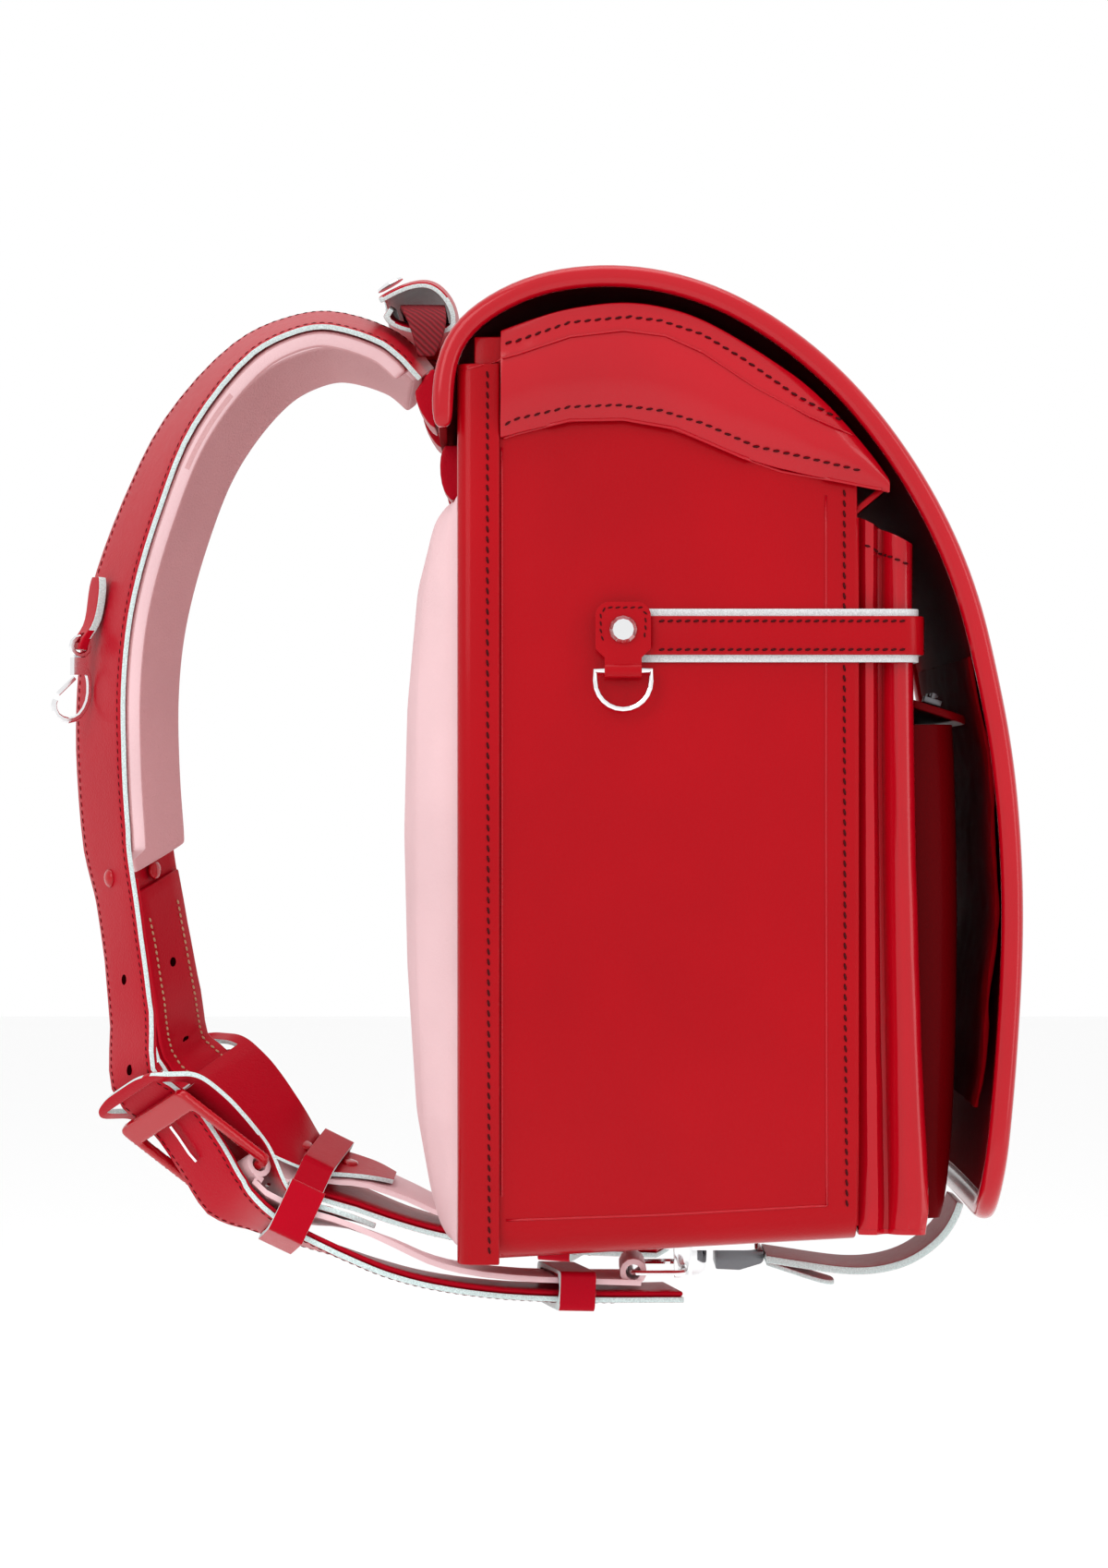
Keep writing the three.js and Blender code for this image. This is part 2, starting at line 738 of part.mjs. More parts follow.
// A lathe's seam and poles are merged, so that it is one closed skin that faces outwards.
function mergeLathe(geometry) {
  const bare = geometry.clone();
  bare.deleteAttribute('normal');
  bare.deleteAttribute('uv');
  const merged = mergeVertices(bare, 1e-4);
  const place = merged.attributes.position;
  const positions = [];
  for (let i = 0; i < place.count; i += 1) positions.push(new THREE.Vector3().fromBufferAttribute(place, i));
  const faces = [];
  const order = merged.index.array;
  for (let i = 0; i < order.length; i += 3) {
    const face = [order[i], order[i + 1], order[i + 2]];
    if (new Set(face).size === 3) faces.push(face);
  }
  return closedGeometry(positions, faces);
}

// Flap: its outer line from the back, over the top and down the front.
// Out is a share of the flap's depth, up a share of the body's height.
const flapTable = [
  { out: -0.045, up: 0.836 },
  { out: -0.047, up: 0.884 },
  { out: -0.034, up: 0.922 },
  { out: 0.004, up: 0.951 },
  { out: 0.06, up: 0.972 },
  { out: 0.12, up: 0.988 },
  { out: 0.19, up: 0.997 },
  { out: 0.269, up: 1 },
  { out: 0.354, up: 0.996 },
  { out: 0.433, up: 0.984 },
  { out: 0.504, up: 0.967 },
  { out: 0.596, up: 0.934 },
  { out: 0.691, up: 0.888 },
  { out: 0.784, up: 0.824 },
  { out: 0.843, up: 0.771 },
  { out: 0.895, up: 0.711 },
  { out: 0.929, up: 0.655 },
  { out: 0.955, up: 0.59 },
  { out: 0.982, up: 0.51 },
  { out: 0.998, up: 0.405 },
  { out: 1, up: 0.327 },
  { out: 0.994, up: 0.25 },
  { out: 0.978, up: 0.134 },
  { out: 0.955, up: 0.036 },
];

const flapCurve = new THREE.CatmullRomCurve3(flapTable.map((row) => new THREE.Vector3(
  backX + row.out * flapDepth,
  0,
  -baseDrop + row.up * bodyHeight,
)));
const flapLength = flapCurve.getLength();

// A point of the flap: s along it from the back, y across, depth inwards from the rim's outer face.
function flapPoint(s, y, depth) {
  const share = THREE.MathUtils.clamp(s / flapLength, 0, 1);
  const point = flapCurve.getPointAt(share);
  const along = flapCurve.getTangentAt(share);
  const outward = new THREE.Vector3(-along.z, 0, along.x);
  const crown = flapCrown * (1 - (y / (flapWidth / 2)) ** 2);
  point.addScaledVector(outward, crown - depth);
  point.y = y;
  return point;
}

function flap() {
  const halfRim = flapWidth / 2 - rimWidth / 2;
  const inset = rimWidth / 2 + gap;
  const rows = 22;
  const columns = 6;
  const cornerStart = flapLength - rimWidth / 2 - flapCorner;
  const depth = (rimThickness - flapThickness) / 2;
  const outer = [];
  const inner = [];
  const reach = flapCorner - inset;
  const stations = [];
  for (let k = 0; k < rows; k += 1) stations.push({ s: (cornerStart * k) / rows, half: halfRim - inset });
  for (let i = 0; i <= 6; i += 1) {
    const angle = (Math.PI / 2) * (i / 6);
    const half = halfRim - flapCorner + reach * Math.cos(angle);
    stations.push({ s: cornerStart + reach * Math.sin(angle), half });
  }
  for (const { s, half } of stations) {
    const line = (d) => {
      const points = [];
      for (let c = 0; c <= columns; c += 1) points.push(flapPoint(s, half * ((2 * c) / columns - 1), d));
      return points;
    };
    outer.push(line(depth));
    inner.push(line(depth + flapThickness));
  }
  addPiece('flap_panel', slab(outer, inner), 'leather');

  // The rim runs down one side, round the lower corners and up the other side.
  const path = [];
  const end = flapLength - rimWidth / 2;
  for (let k = 0; k <= 26; k += 1) path.push(new THREE.Vector2((cornerStart * k) / 26, -halfRim));
  for (let i = 1; i <= 6; i += 1) {
    const angle = (Math.PI / 2) * (i / 6);
    const s = cornerStart + flapCorner * Math.sin(angle);
    path.push(new THREE.Vector2(s, -halfRim + flapCorner - flapCorner * Math.cos(angle)));
  }
  for (let i = 1; i <= 3; i += 1) {
    const straight = halfRim - flapCorner;
    path.push(new THREE.Vector2(end, -straight + (straight * i) / 3));
  }
  const whole = [...path, ...path.slice(0, -1).reverse().map((p) => new THREE.Vector2(p.x, -p.y))];
  const loops = whole.map((p, k) => {
    const before = whole[Math.max(k - 1, 0)];
    const after = whole[Math.min(k + 1, whole.length - 1)];
    const across = after.clone().sub(before).normalize();
    const section = [];
    for (let i = 0; i < 8; i += 1) {
      const angle = (2 * Math.PI * i) / 8;
      const bend = (v) => Math.sign(v) * Math.abs(v) ** 0.7;
      const sideways = (rimWidth / 2) * bend(Math.cos(angle));
      const deep = rimThickness / 2 - (rimThickness / 2) * bend(Math.sin(angle));
      const s = THREE.MathUtils.clamp(p.x - across.y * sideways, 0, flapLength);
      section.push(flapPoint(s, p.y + across.x * sideways, deep));
    }
    return section;
  });
  addPiece('flap_rim', loft(loops), 'leather');

  // Soft pouch inside the flap, with a wavy free edge at its foot.
  const pouchStart = flapLength * 0.6;
  const pouchEnd = flapLength - pouchFoot;
  const waves = 14;
  const pouchDepth = depth + flapThickness + gap;
  const half = pouchWidth / 2;
  const shell = (extra) => {
    const grid = [];
    for (let k = 0; k <= waves; k += 1) {
      const share = k / waves;
      const s = pouchStart + (pouchEnd - pouchStart) * share;
      const sag = 4.5 * share * share + 0.9 * Math.sin(share * 19);
      const row = [];
      for (let c = 0; c <= 4; c += 1) {
        const y = half * (c / 2 - 1);
        row.push(flapPoint(s, y, pouchDepth + extra + Math.max(sag, 0)));
      }
      grid.push(row);
    }
    return grid;
  };
  addPiece('flap_pouch', slab(shell(0), shell(pouchThickness)), 'leatherDeep');
}

// Closing belt from the flap's lower edge to the lock. Forward is a share of the run to the lock,
// down is a share of the belt's drop below the flap's edge.
const closingTable = [
  { forward: 0, down: 0 },
  { forward: 0.02, down: 0.18 },
  { forward: 0.08, down: 0.48 },
  { forward: 0.19, down: 0.74 },
  { forward: 0.3, down: 0.9 },
  { forward: 0.44, down: 0.99 },
  { forward: 0.58, down: 1 },
  { forward: 0.72, down: 0.95 },
  { forward: 0.86, down: 0.89 },
  { forward: 1, down: 0.83 },
];
const clipRise = 2;

function closingBelt() {
  const start = flapPoint(flapLength, 0, rimThickness / 2);
  const startX = start.x + 0.5;
  const startZ = start.z - gap - 1.6;
  const endX = lockX + lockLength + 2;
  const lockFloor = baseZ(lockX) - gap - lockDrop;
  const endZ = lockFloor - gap - closingBeltThickness - clipRise;
  const closingDrop = (startZ - endZ) / closingTable[closingTable.length - 1].down;
  const line = closingTable.map((row) => new THREE.Vector2(
    startX + row.forward * (endX - startX),
    startZ - row.down * closingDrop,
  ));
  const inside = offsetLine(line, -closingBeltThickness);
  const half = closingBeltWidth / 2;
  const rows = (points) => [-half, half].map((y) => points.map((p) => new THREE.Vector3(p.x, y, p.y)));
  addPiece('closing_belt', slab(rows(line), rows(inside)), 'leatherDeep');

  const end = line[line.length - 1];
  const clipLength = 18;
  const clip = new THREE.Shape();
  clip.moveTo(0, 0);
  clip.lineTo(0, closingBeltThickness + 1);
  clip.lineTo(-clipLength, closingBeltThickness + clipRise);
  clip.lineTo(-clipLength, -3);
  clip.lineTo(-clipLength * 0.5, -3.4);
  clip.lineTo(-1, -1);
  const half2 = 13;
  const place = basis(xAxis, zAxis, yAxis.clone().negate(), new THREE.Vector3(end.x - gap, half2, end.y));
  addPiece('belt_clip', extrudeAlong(clip, half2 * 2, place), 'gunmetal');

  const tab = [
    { along: 0.04, hang: 0, width: 9 },
    { along: 0.25, hang: 0.2, width: 11 },
    { along: 0.55, hang: 0.62, width: 12 },
    { along: 0.85, hang: 1, width: 11 },
    { along: 1, hang: 1, width: 7 },
  ];
  const tabLength = 27;
  const tabHang = 3.5;
  const tabThick = 1.8;
  const slope = (end.y - line[line.length - 2].y) / (line[line.length - 2].x - end.x);
  const grid = (lift) => tab.map((row) => [-1, 0, 1].map((side) => new THREE.Vector3(
    end.x + row.along * tabLength,
    side * row.width,
    end.y - slope * row.along * tabLength - gap - row.hang * tabHang - lift,
  )));
  addPiece('pull_tab', slab(grid(tabThick), grid(0)), 'pale');
}

function lock() {
  const top = baseZ(lockX) - gap;
  const shape = roundedShape(lockWidth / 2, 0, lockLength, 7);
  const place = basis(yAxis, xAxis, zAxis.clone().negate(), new THREE.Vector3(lockX, 0, top));
  addPiece('lock_base', extrudeAlong(shape, lockDrop, place, 3), 'chrome');

  const profile = [
    new THREE.Vector2(0, 0),
    new THREE.Vector2(knobDiameter / 2, 0),
    new THREE.Vector2(knobDiameter / 2, -knobDrop * 0.62),
    new THREE.Vector2(knobDiameter * 0.42, -knobDrop * 0.86),
    new THREE.Vector2(knobDiameter * 0.24, -knobDrop * 0.97),
    new THREE.Vector2(0, -knobDrop),
  ];
  const knob = new THREE.LatheGeometry(profile, 16).rotateX(Math.PI / 2);
  knob.translate(lockX + 11, 0, top - lockDrop - gap);
  addPiece('lock_knob', mergeLathe(knob), 'chrome');

  // Bracket plate behind the lock, with an ear for each strap ring.
  const plateEnd = lockX - gap;
  const plateTop = baseZ(plateEnd - bracketWidth) - gap;
  const parts = [];
  const reach = strapRingY + earWidth;
  const plate = new THREE.BoxGeometry(bracketWidth, reach * 2, bracketThickness);
  parts.push(plate.translate(plateEnd - bracketWidth / 2, 0, plateTop - bracketThickness / 2));
  const bar = strapRingX + strapRingLength;
  const boreRadius = strapRingWire + 0.6;
  const earLow = strapRingZ - boreRadius - bracketThickness;
  const earHalf = boreRadius + bracketThickness;
  const footLength = bar + earHalf - plateEnd + 1;
  for (const sign of [-1, 1]) {
    const ear = new THREE.BoxGeometry(earHalf * 2, earWidth, plateTop - earLow);
    parts.push(ear.translate(bar, sign * strapRingY, (plateTop + earLow) / 2));
    const foot = new THREE.BoxGeometry(footLength, earWidth, bracketThickness);
    parts.push(foot.translate(bar + earHalf - footLength / 2, sign * strapRingY, plateTop - bracketThickness / 2));
  }
  const bores = [-1, 1].map((sign) => {
    const bore = new THREE.CylinderGeometry(boreRadius, boreRadius, earWidth * 1.5, 12);
    return bore.translate(bar, sign * strapRingY, strapRingZ);
  });
  addPiece('ring_bracket', cut(join(...parts), ...bores), 'chrome');
}

// Shoulder strap: the middle of its outer face, from the root over the shoulder to the tail's end.
// Out is a share of the strap's reach behind the board, up of the body's height over its lowest
// corner, side of the straps' half spread; roll turns the outer face to the side, in degrees.
const strapTable = [
  { out: 0.093, up: 0.914, side: 0.49, roll: 10, width: 1 },
  { out: 0.145, up: 0.936, side: 0.5, roll: 11, width: 1 },
  { out: 0.209, up: 0.954, side: 0.51, roll: 12, width: 1 },
  { out: 0.367, up: 0.971, side: 0.535, roll: 13, width: 1 },
  { out: 0.476, up: 0.965, side: 0.55, roll: 14, width: 1 },
  { out: 0.611, up: 0.939, side: 0.57, roll: 16, width: 1 },
  { out: 0.789, up: 0.86, side: 0.6, roll: 20, width: 1 },
  { out: 0.891, up: 0.775, side: 0.625, roll: 24, width: 1 },
  { out: 0.97, up: 0.68, side: 0.66, roll: 27, width: 1 },
  { out: 1, up: 0.6, side: 0.67, roll: 28, width: 1 },
  { out: 1.004, up: 0.52, side: 0.68, roll: 29, width: 1 },
  { out: 0.985, up: 0.421, side: 0.705, roll: 29, width: 0.97 },
  { out: 0.958, up: 0.37, side: 0.75, roll: 30, width: 0.8 },
  { out: 0.93, up: 0.31, side: 0.82, roll: 32, width: 0.72 },
  { out: 0.906, up: 0.247, side: 0.9, roll: 34, width: 0.72 },
  { out: 0.555, up: 0.036, side: 1.03, roll: 24, width: 0.72 },
  { out: 0.455, up: 0.016, side: 1.02, roll: 13, width: 0.72 },
  { out: 0.335, up: -0.002, side: 1.01, roll: 7, width: 0.72 },
  { out: 0.21, up: -0.02, side: 1, roll: 4, width: 0.72 },
  { out: 0.085, up: -0.033, side: 0.98, roll: 3, width: 0.72 },
  { out: -0.1, up: -0.044, side: 0.93, roll: 2, width: 0.72 },
  { out: -0.34, up: -0.05, side: 0.85, roll: 1, width: 0.72 },
  { out: -0.585, up: -0.052, side: 0.77, roll: 0, width: 0.72 },
];
const buckleBefore = 15;

// Lower belt: the middle of its outer face, from the buckle's bar to the ring under the base.
const lowerTable = [
  { out: 0.49, up: 0.044, side: 1, roll: 18, width: 1 },
  { out: 0.4, up: 0.035, side: 1.005, roll: 13, width: 1 },
  { out: 0.31, up: 0.028, side: 1, roll: 8, width: 1 },
  { out: 0.18, up: 0.009, side: 1, roll: 5, width: 1 },
  { out: 0.089, up: -0.007, side: 0.99, roll: 4, width: 1 },
  { out: 0.0, up: -0.017, side: 0.97, roll: 3, width: 1 },
  { out: -0.16, up: -0.026, side: 0.91, roll: 2, width: 1 },
  { out: -0.33, up: -0.03, side: 0.85, roll: 1, width: 1 },
  { out: -0.465, up: -0.0325, side: 0.8, roll: 0, width: 1 },
];

// The buckle's own axes at its middle: the run through it, across it and outwards.
const buckleCentre = { out: 0.702, up: 0.108, side: 1 };

const buckle = (() => {
  const across = new THREE.Vector3(-0.568, 0.728, -0.387).normalize();
  const along = new THREE.Vector3(0.77, 0.26, -0.64);
  along.addScaledVector(across, -across.dot(along)).normalize();
  const normal = new THREE.Vector3().crossVectors(across, along).normalize();
  return { point: routePoint(buckleCentre), along, across, normal };
})();

function routePoint(row) {
  return new THREE.Vector3(
    backX - row.out * strapReach,
    -row.side * strapSpread,
    -baseDrop + row.up * bodyHeight,
  );
}

// The strap inside the buckle: along the frame and out of its middle plane, in millimetres.
const plateLift = -frameThickness / 2 - gap;
const barLift = loopRadius + gap + strapThickness + gap + coreThickness;
const buckleRun = [
  { along: -frameLength * 0.87, lift: plateLift - 1.9, roll: 37 },
  { along: -frameLength * 0.6, lift: plateLift - 0.5, roll: 41 },
  { along: -frameLength * 0.37, lift: plateLift - 0.1, roll: 41 },
  { along: frameLength * 0.05, lift: (plateLift + barLift) * 0.53, roll: 41 },
  { along: frameLength * 0.44, lift: barLift + 1.3, roll: 40 },
];

const lowerRun = [
  { along: frameLength / 2 - frameBar / 2, lift: loopRadius, roll: 41 },
  { along: frameLength * 0.62, lift: loopRadius + 0.1, roll: 38 },
];

function buckleRow(row) {
  const point = buckle.point.clone().addScaledVector(buckle.along, row.along);
  point.addScaledVector(buckle.normal, row.lift);
  return { point, roll: row.roll, width: 0.72 };
}

const strapRoute = [
  ...strapTable.slice(0, buckleBefore).map((row) => ({ ...row, point: routePoint(row) })),
  ...buckleRun.map(buckleRow),
  ...strapTable.slice(buckleBefore).map((row) => ({ ...row, point: routePoint(row) })),
];
const lowerRoute = [
  ...lowerRun.map(buckleRow).map((row) => ({ ...row, width: 1 })),
  ...lowerTable.map((row) => ({ ...row, point: routePoint(row) })),
];

const prongTable = [
  { along: -frameLength * 0.355, lift: 0 },
  { along: -frameLength * 0.23, lift: 1.6 },
  { along: -frameLength * 0.07, lift: 4.1 },
  { along: frameLength * 0.03, lift: 5 },
];

// Guard in the buckle's axes, in shares of the frame's length, then of the lower belt's run.
const guardTable = [
  { along: -0.961, lift: 0.032, width: 0.45 },
  { along: -0.908, lift: 0.037, width: 0.84 },
  { along: -0.816, lift: 0.016, width: 1 },
  { along: -0.697, lift: -0.079, width: 1 },
  { along: -0.579, lift: -0.174, width: 1 },
  { along: -0.447, lift: -0.216, width: 1 },
  { along: -0.132, lift: -0.221, width: 0.96 },
  { along: 0.184, lift: -0.205, width: 0.84 },
  { along: 0.474, lift: -0.174, width: 0.72 },
];
const guardRun = [
  { share: 0.22, width: 1.15, lift: 1 },
  { share: 0.31, width: 1.1, lift: 1 },
  { share: 0.4, width: 1, lift: 1 },
  { share: 0.45, width: 0.6, lift: 1 },
];
const guardSteps = 26;
const slotClearance = 1.5;
const slotLength = 12.5;
const keeperUpperX = -43;
const upperStack = 16;
const keeperLowerX = 58;
const lowerStack = 10;

// Root piece between the strap's end and the board, in shares of the strap's whole thickness.
const rootTable = [
  { forward: 0.14, up: -0.08 },
  { forward: -0.5, up: -0.98 },
  { forward: -0.45, up: -1.5 },
  { forward: 0.02, up: -2.3 },
  { forward: 0.34, up: -2.5 },
  { forward: 0.34, up: -0.08 },
];
const anchorThickness = 10;
const anchorDrop = 21;
const anchorWidth = 26;
const anchorTable = [
  { out: 0, down: 0.03 },
  { out: 0.8, down: 0.03 },
  { out: 0.98, down: 0.2 },
  { out: 1, down: 0.55 },
  { out: 0.85, down: 0.85 },
  { out: 0.55, down: 1 },
  { out: 0, down: 0.9 },
];

// Snap hook: its tab on the strap's face, the bow's line and the gate.
const hookLevel = -baseDrop + 0.622 * bodyHeight;
const hookShift = 5;
const hookLip = 6.2;
const hookTabTable = [
  { along: -26, rise: 0.3, width: 0.6 },
  { along: -23, rise: 0.3, width: 0.95 },
  { along: -17, rise: 0.3, width: 1 },
  { along: -10, rise: 0.6, width: 0.85 },
  { along: -6, rise: 2.2, width: 0.8 },
  { along: -3, rise: 4.2, width: 0.8 },
  { along: 0, rise: 4.7, width: 0.75 },
  { along: 1.3, rise: 4.7, width: 0.6 },
];
const bowTable = [
  { out: -1, down: 7.5 },
  { out: -2.6, down: 9.5 },
  { out: -3.5, down: 14 },
  { out: -2.9, down: 20 },
  { out: 0.2, down: 25.2 },
  { out: 4.6, down: 27 },
  { out: 8.8, down: 25.2 },
  { out: 10.2, down: 21.5 },
  { out: 9.6, down: 19.6 },
];
const gatePivot = { out: 2.2, down: 9.6 };
const gateTip = { out: 8.6, down: 17.4 };

// Handle: the folded leather from its free lip, over the top and under again.
// Back is a share of its reach behind the board, rise a share of its height over the flap's top.
const handleReach = 30;
const handleRise = 8;
const handleTable = [
  { back: 1.03, rise: 0.25 },
  { back: 0.78, rise: 0.78 },
  { back: 0.53, rise: 1.06 },
  { back: 0.33, rise: 0.95 },
  { back: 0.16, rise: 0.35 },
  { back: 0.06, rise: -0.45 },
  { back: 0.08, rise: -1.2 },
  { back: 0.3, rise: -1.5 },
  { back: 0.62, rise: -1.4 },
  { back: 0.9, rise: -1.05 },
  { back: 0.97, rise: -0.6 },
  { back: 0.9, rise: -0.2 },
];
const webbingTable = [
  { side: 0, rise: -0.35, from: 0.78, to: 0.22 },
  { side: 0.9, rise: -0.5, from: 0.78, to: 0.22 },
  { side: 1.02, rise: -0.8, from: 0.74, to: 0.2 },
  { side: 1.07, rise: -1.4, from: 0.66, to: 0.18 },
  { side: 1.08, rise: -2.4, from: 0.58, to: 0.24 },
  { side: 1.08, rise: -3.1, from: 0.54, to: 0.34 },
];

function routeFrames(table, sign, count, fullWidth, from = 0, to = 1) {
  const points = table.map((row) => row.point);
  const curve = new THREE.CatmullRomCurve3(points);
  const frames = [];
  for (let k = 0; k <= count; k += 1) {
    const t = from + ((to - from) * k) / count;
    const index = t * (table.length - 1);
    const low = Math.min(Math.floor(index), table.length - 2);
    const part = index - low;
    const mix = (key) => table[low][key] * (1 - part) + table[low + 1][key] * part;
    const along = curve.getTangent(t);
    const level = yAxis.clone().addScaledVector(along, -yAxis.dot(along)).normalize();
    const outward = new THREE.Vector3().crossVectors(level, along).normalize();
    const roll = THREE.MathUtils.degToRad(mix('roll'));
    const across = level.clone().multiplyScalar(Math.cos(roll)).addScaledVector(outward, Math.sin(roll));
    const normal = outward.clone().multiplyScalar(Math.cos(roll)).addScaledVector(level, -Math.sin(roll));
    frames.push({ point: curve.getPoint(t), along, across, normal, width: fullWidth * mix('width') });
  }
  if (sign > 0) {
    for (const frame of frames) {
      for (const key of ['point', 'along', 'across', 'normal']) frame[key].y *= -1;
    }
  }
  return frames;
}

function frameToWorld(frame, u, n, s = 0) {
  return frame.point.clone().addScaledVector(frame.across, u).addScaledVector(frame.normal, n)
    .addScaledVector(frame.along, s);
}

// A flat strip along frames, between two depths under the outer face, its edges eased.
function strip(frames, high, low, widthScale, round, columns) {
  const rows = (level, edge) => frames.map((frame) => {
    const row = [];
    for (let c = 0; c <= columns; c += 1) {
      const share = (2 * c) / columns - 1;
      const n = level - edge * share ** 4;
      row.push(frameToWorld(frame, (frame.width * widthScale * share) / 2, n));
    }
    return row;
  });
  return slab(rows(high, round), rows(low, -round));
}

const padEnd = 24;
const strapRingY = 0.79 * strapSpread;
const strapRingZ = -baseDrop - loopRadius * 1.4;

function mirrored(frame, sign) {
  if (sign > 0) {
    for (const key of ['point', 'along', 'across', 'normal']) frame[key].y *= -1;
  }
  return frame;
}

// A piece drawn in a frame's own axes: across, outwards and along the strap.
function inFrame(geometry, frame) {
  geometry.applyMatrix4(basis(frame.across, frame.normal, frame.along, frame.point));
  return mergeLathe(geometry);
}

function localBox(width, depth, length, u, n, s) {
  return new THREE.BoxGeometry(width, depth, length).translate(u, n, s);
}

function buckleParts(side, sign) {
  const frame = mirrored(cloneAxes(buckle), sign);
  const half = frameWidth / 2;
  const start = -frameLength / 2 - framePlate / 2;
  const end = frameLength / 2;
  const outline = roundedShape(half, start, end, frameBar);
  const opening = new THREE.Path();
  const inner = half - frameBar;
  opening.moveTo(-inner, start + framePlate);
  opening.lineTo(-inner, end - frameBar);
  opening.lineTo(inner, end - frameBar);
  opening.lineTo(inner, start + framePlate);
  outline.holes.push(opening);
  const plate = new THREE.ExtrudeGeometry(outline, { depth: frameThickness, bevelEnabled: false, curveSegments: 3 });
  plate.rotateX(Math.PI / 2);
  plate.translate(0, frameThickness / 2, 0);
  addPiece(`buckle_frame_${side}`, inFrame(plate, frame), 'buckle');

  const points = prongTable.map((row) => new THREE.Vector3(0, row.lift, row.along));
  const prong = wire(points, prongWire, new THREE.Vector3(1, 0, 0), false, 6);
  addPiece(`buckle_prong_${side}`, inFrame(prong, frame), 'chrome');
  return frame;
}

function cloneAxes(frame) {
  const copy = {};
  for (const key of ['point', 'along', 'across', 'normal']) copy[key] = frame[key].clone();
  return copy;
}

// The lower belt's end loop, across the belt.
function sleeve(along) {
  const rod = (radius, length) => new THREE.CylinderGeometry(radius, radius, length, 14)
    .rotateZ(Math.PI / 2).translate(0, 0, along);
  return cut(rod(loopRadius, beltStrapWidth), rod(loopRadius - beltStrapThickness, beltStrapWidth * 1.2));
}

function lowerBelt(side, sign, frame) {
  const frames = routeFrames(lowerRoute, sign, 22, beltStrapWidth);
  const run = strip(frames, 0, -beltStrapThickness, 1, 0, 2);
  const bar = frameLength / 2 - frameBar / 2;
  const top = inFrame(sleeve(bar), frame);
  const foot = sleeve(0).rotateZ(Math.PI / 2);
  foot.translate(strapRingX + 0.8, sign * strapRingY, strapRingZ);
  addPiece(`lower_belt_${side}`, join(run, top, foot), 'pad');
  return frames;
}

// Guard behind the buckle: its end turns out over the strap, which passes through its slot.
function guard(side, sign, frame, beltFrames) {
  const rows = guardTable.map((row) => ({
    point: frame.point.clone().addScaledVector(frame.along, row.along * frameLength)
      .addScaledVector(frame.normal, row.lift * frameLength),
    across: frame.across,
    normal: frame.normal,
    half: (guardWidth / 2) * row.width,
  }));
  for (const { share, width, lift } of guardRun) {
    const belt = beltFrames[Math.round(share * (beltFrames.length - 1))];
    rows.push({
      point: belt.point.clone().addScaledVector(belt.normal, -beltStrapThickness - lift),
      across: belt.across,
      normal: belt.normal,
      half: (guardEndWidth / 2) * width,
    });
  }
  const points = new THREE.CatmullRomCurve3(rows.map((row) => row.point));
  const grid = (depth) => {
    const out = [];
    for (let k = 0; k <= guardSteps; k += 1) {
      const index = (k / guardSteps) * (rows.length - 1);
      const low = Math.min(Math.floor(index), rows.length - 2);
      const part = index - low;
      const mix = (key) => rows[low][key].clone().lerp(rows[low + 1][key], part).normalize();
      const half = rows[low].half * (1 - part) + rows[low + 1].half * part;
      const point = points.getPoint(k / guardSteps);
      const across = mix('across');
      const normal = mix('normal');
      const tangent = points.getTangent(k / guardSteps);
      const outward = normal.addScaledVector(tangent, -normal.dot(tangent)).normalize();
      out.push([-1, 0, 1].map((c) => point.clone().addScaledVector(across, c * half)
        .addScaledVector(outward, -depth)));
    }
    return out;
  };
  const sheet = slab(grid(0), grid(guardThickness));
  const slotHalf = (strapWidth * 0.72) / 2 + slotClearance;
  const slot = localBox(slotHalf * 2, 20, slotLength, 0, -3, -(frameLength + slotLength) / 2 - 0.35);
  addPiece(`buckle_guard_${side}`, cut(sheet, inFrame(slot, frame)), 'strapLeather');
}

// A leather loop round the tail and the lower belt, its length along the strap.
function keeper(name, frame, stack) {
  const half = (strapWidth * 0.72) / 2 + keeperPlay;
  const high = keeperPlay / 2;
  const outline = roundedShape(half + keeperThickness, -stack - keeperThickness, keeperThickness + high, 2.4);
  const opening = new THREE.Path();
  opening.moveTo(-half, -stack);
  opening.lineTo(-half, high);
  opening.lineTo(half, high);
  opening.lineTo(half, -stack);
  outline.holes.push(opening);
  const band = new THREE.ExtrudeGeometry(outline, { depth: keeperWidth, bevelEnabled: false, curveSegments: 2 });
  band.translate(0, 0, -keeperWidth / 2);
  addPiece(name, inFrame(band, frame), 'strapLeather');
}

function nearestFrame(frames, axis, value) {
  const gapTo = (frame) => Math.abs(frame.point[axis] - value);
  return frames.reduce((best, frame) => (gapTo(frame) < gapTo(best) ? frame : best));
}

function strapRing(side, sign) {
  const half = beltStrapWidth / 2 + strapRingWire + 1;
  const corner = 4;
  const points = [];
  const right = strapRingX + strapRingLength;
  const corners = [
    { x: right - corner, y: half - corner, turn: 0 },
    { x: strapRingX + corner, y: half - corner, turn: 1 },
    { x: strapRingX + corner, y: -half + corner, turn: 2 },
    { x: right - corner, y: -half + corner, turn: 3 },
  ];
  for (const { x, y, turn } of corners) {
    for (let i = 0; i <= 3; i += 1) {
      const angle = (turn + i / 3) * (Math.PI / 2);
      const px = x + corner * Math.cos(angle);
      points.push(new THREE.Vector3(px, sign * strapRingY + y + corner * Math.sin(angle), strapRingZ));
    }
  }
  addPiece(`strap_ring_${side}`, wire(points, strapRingWire, zAxis, true, 6), 'chrome');
}

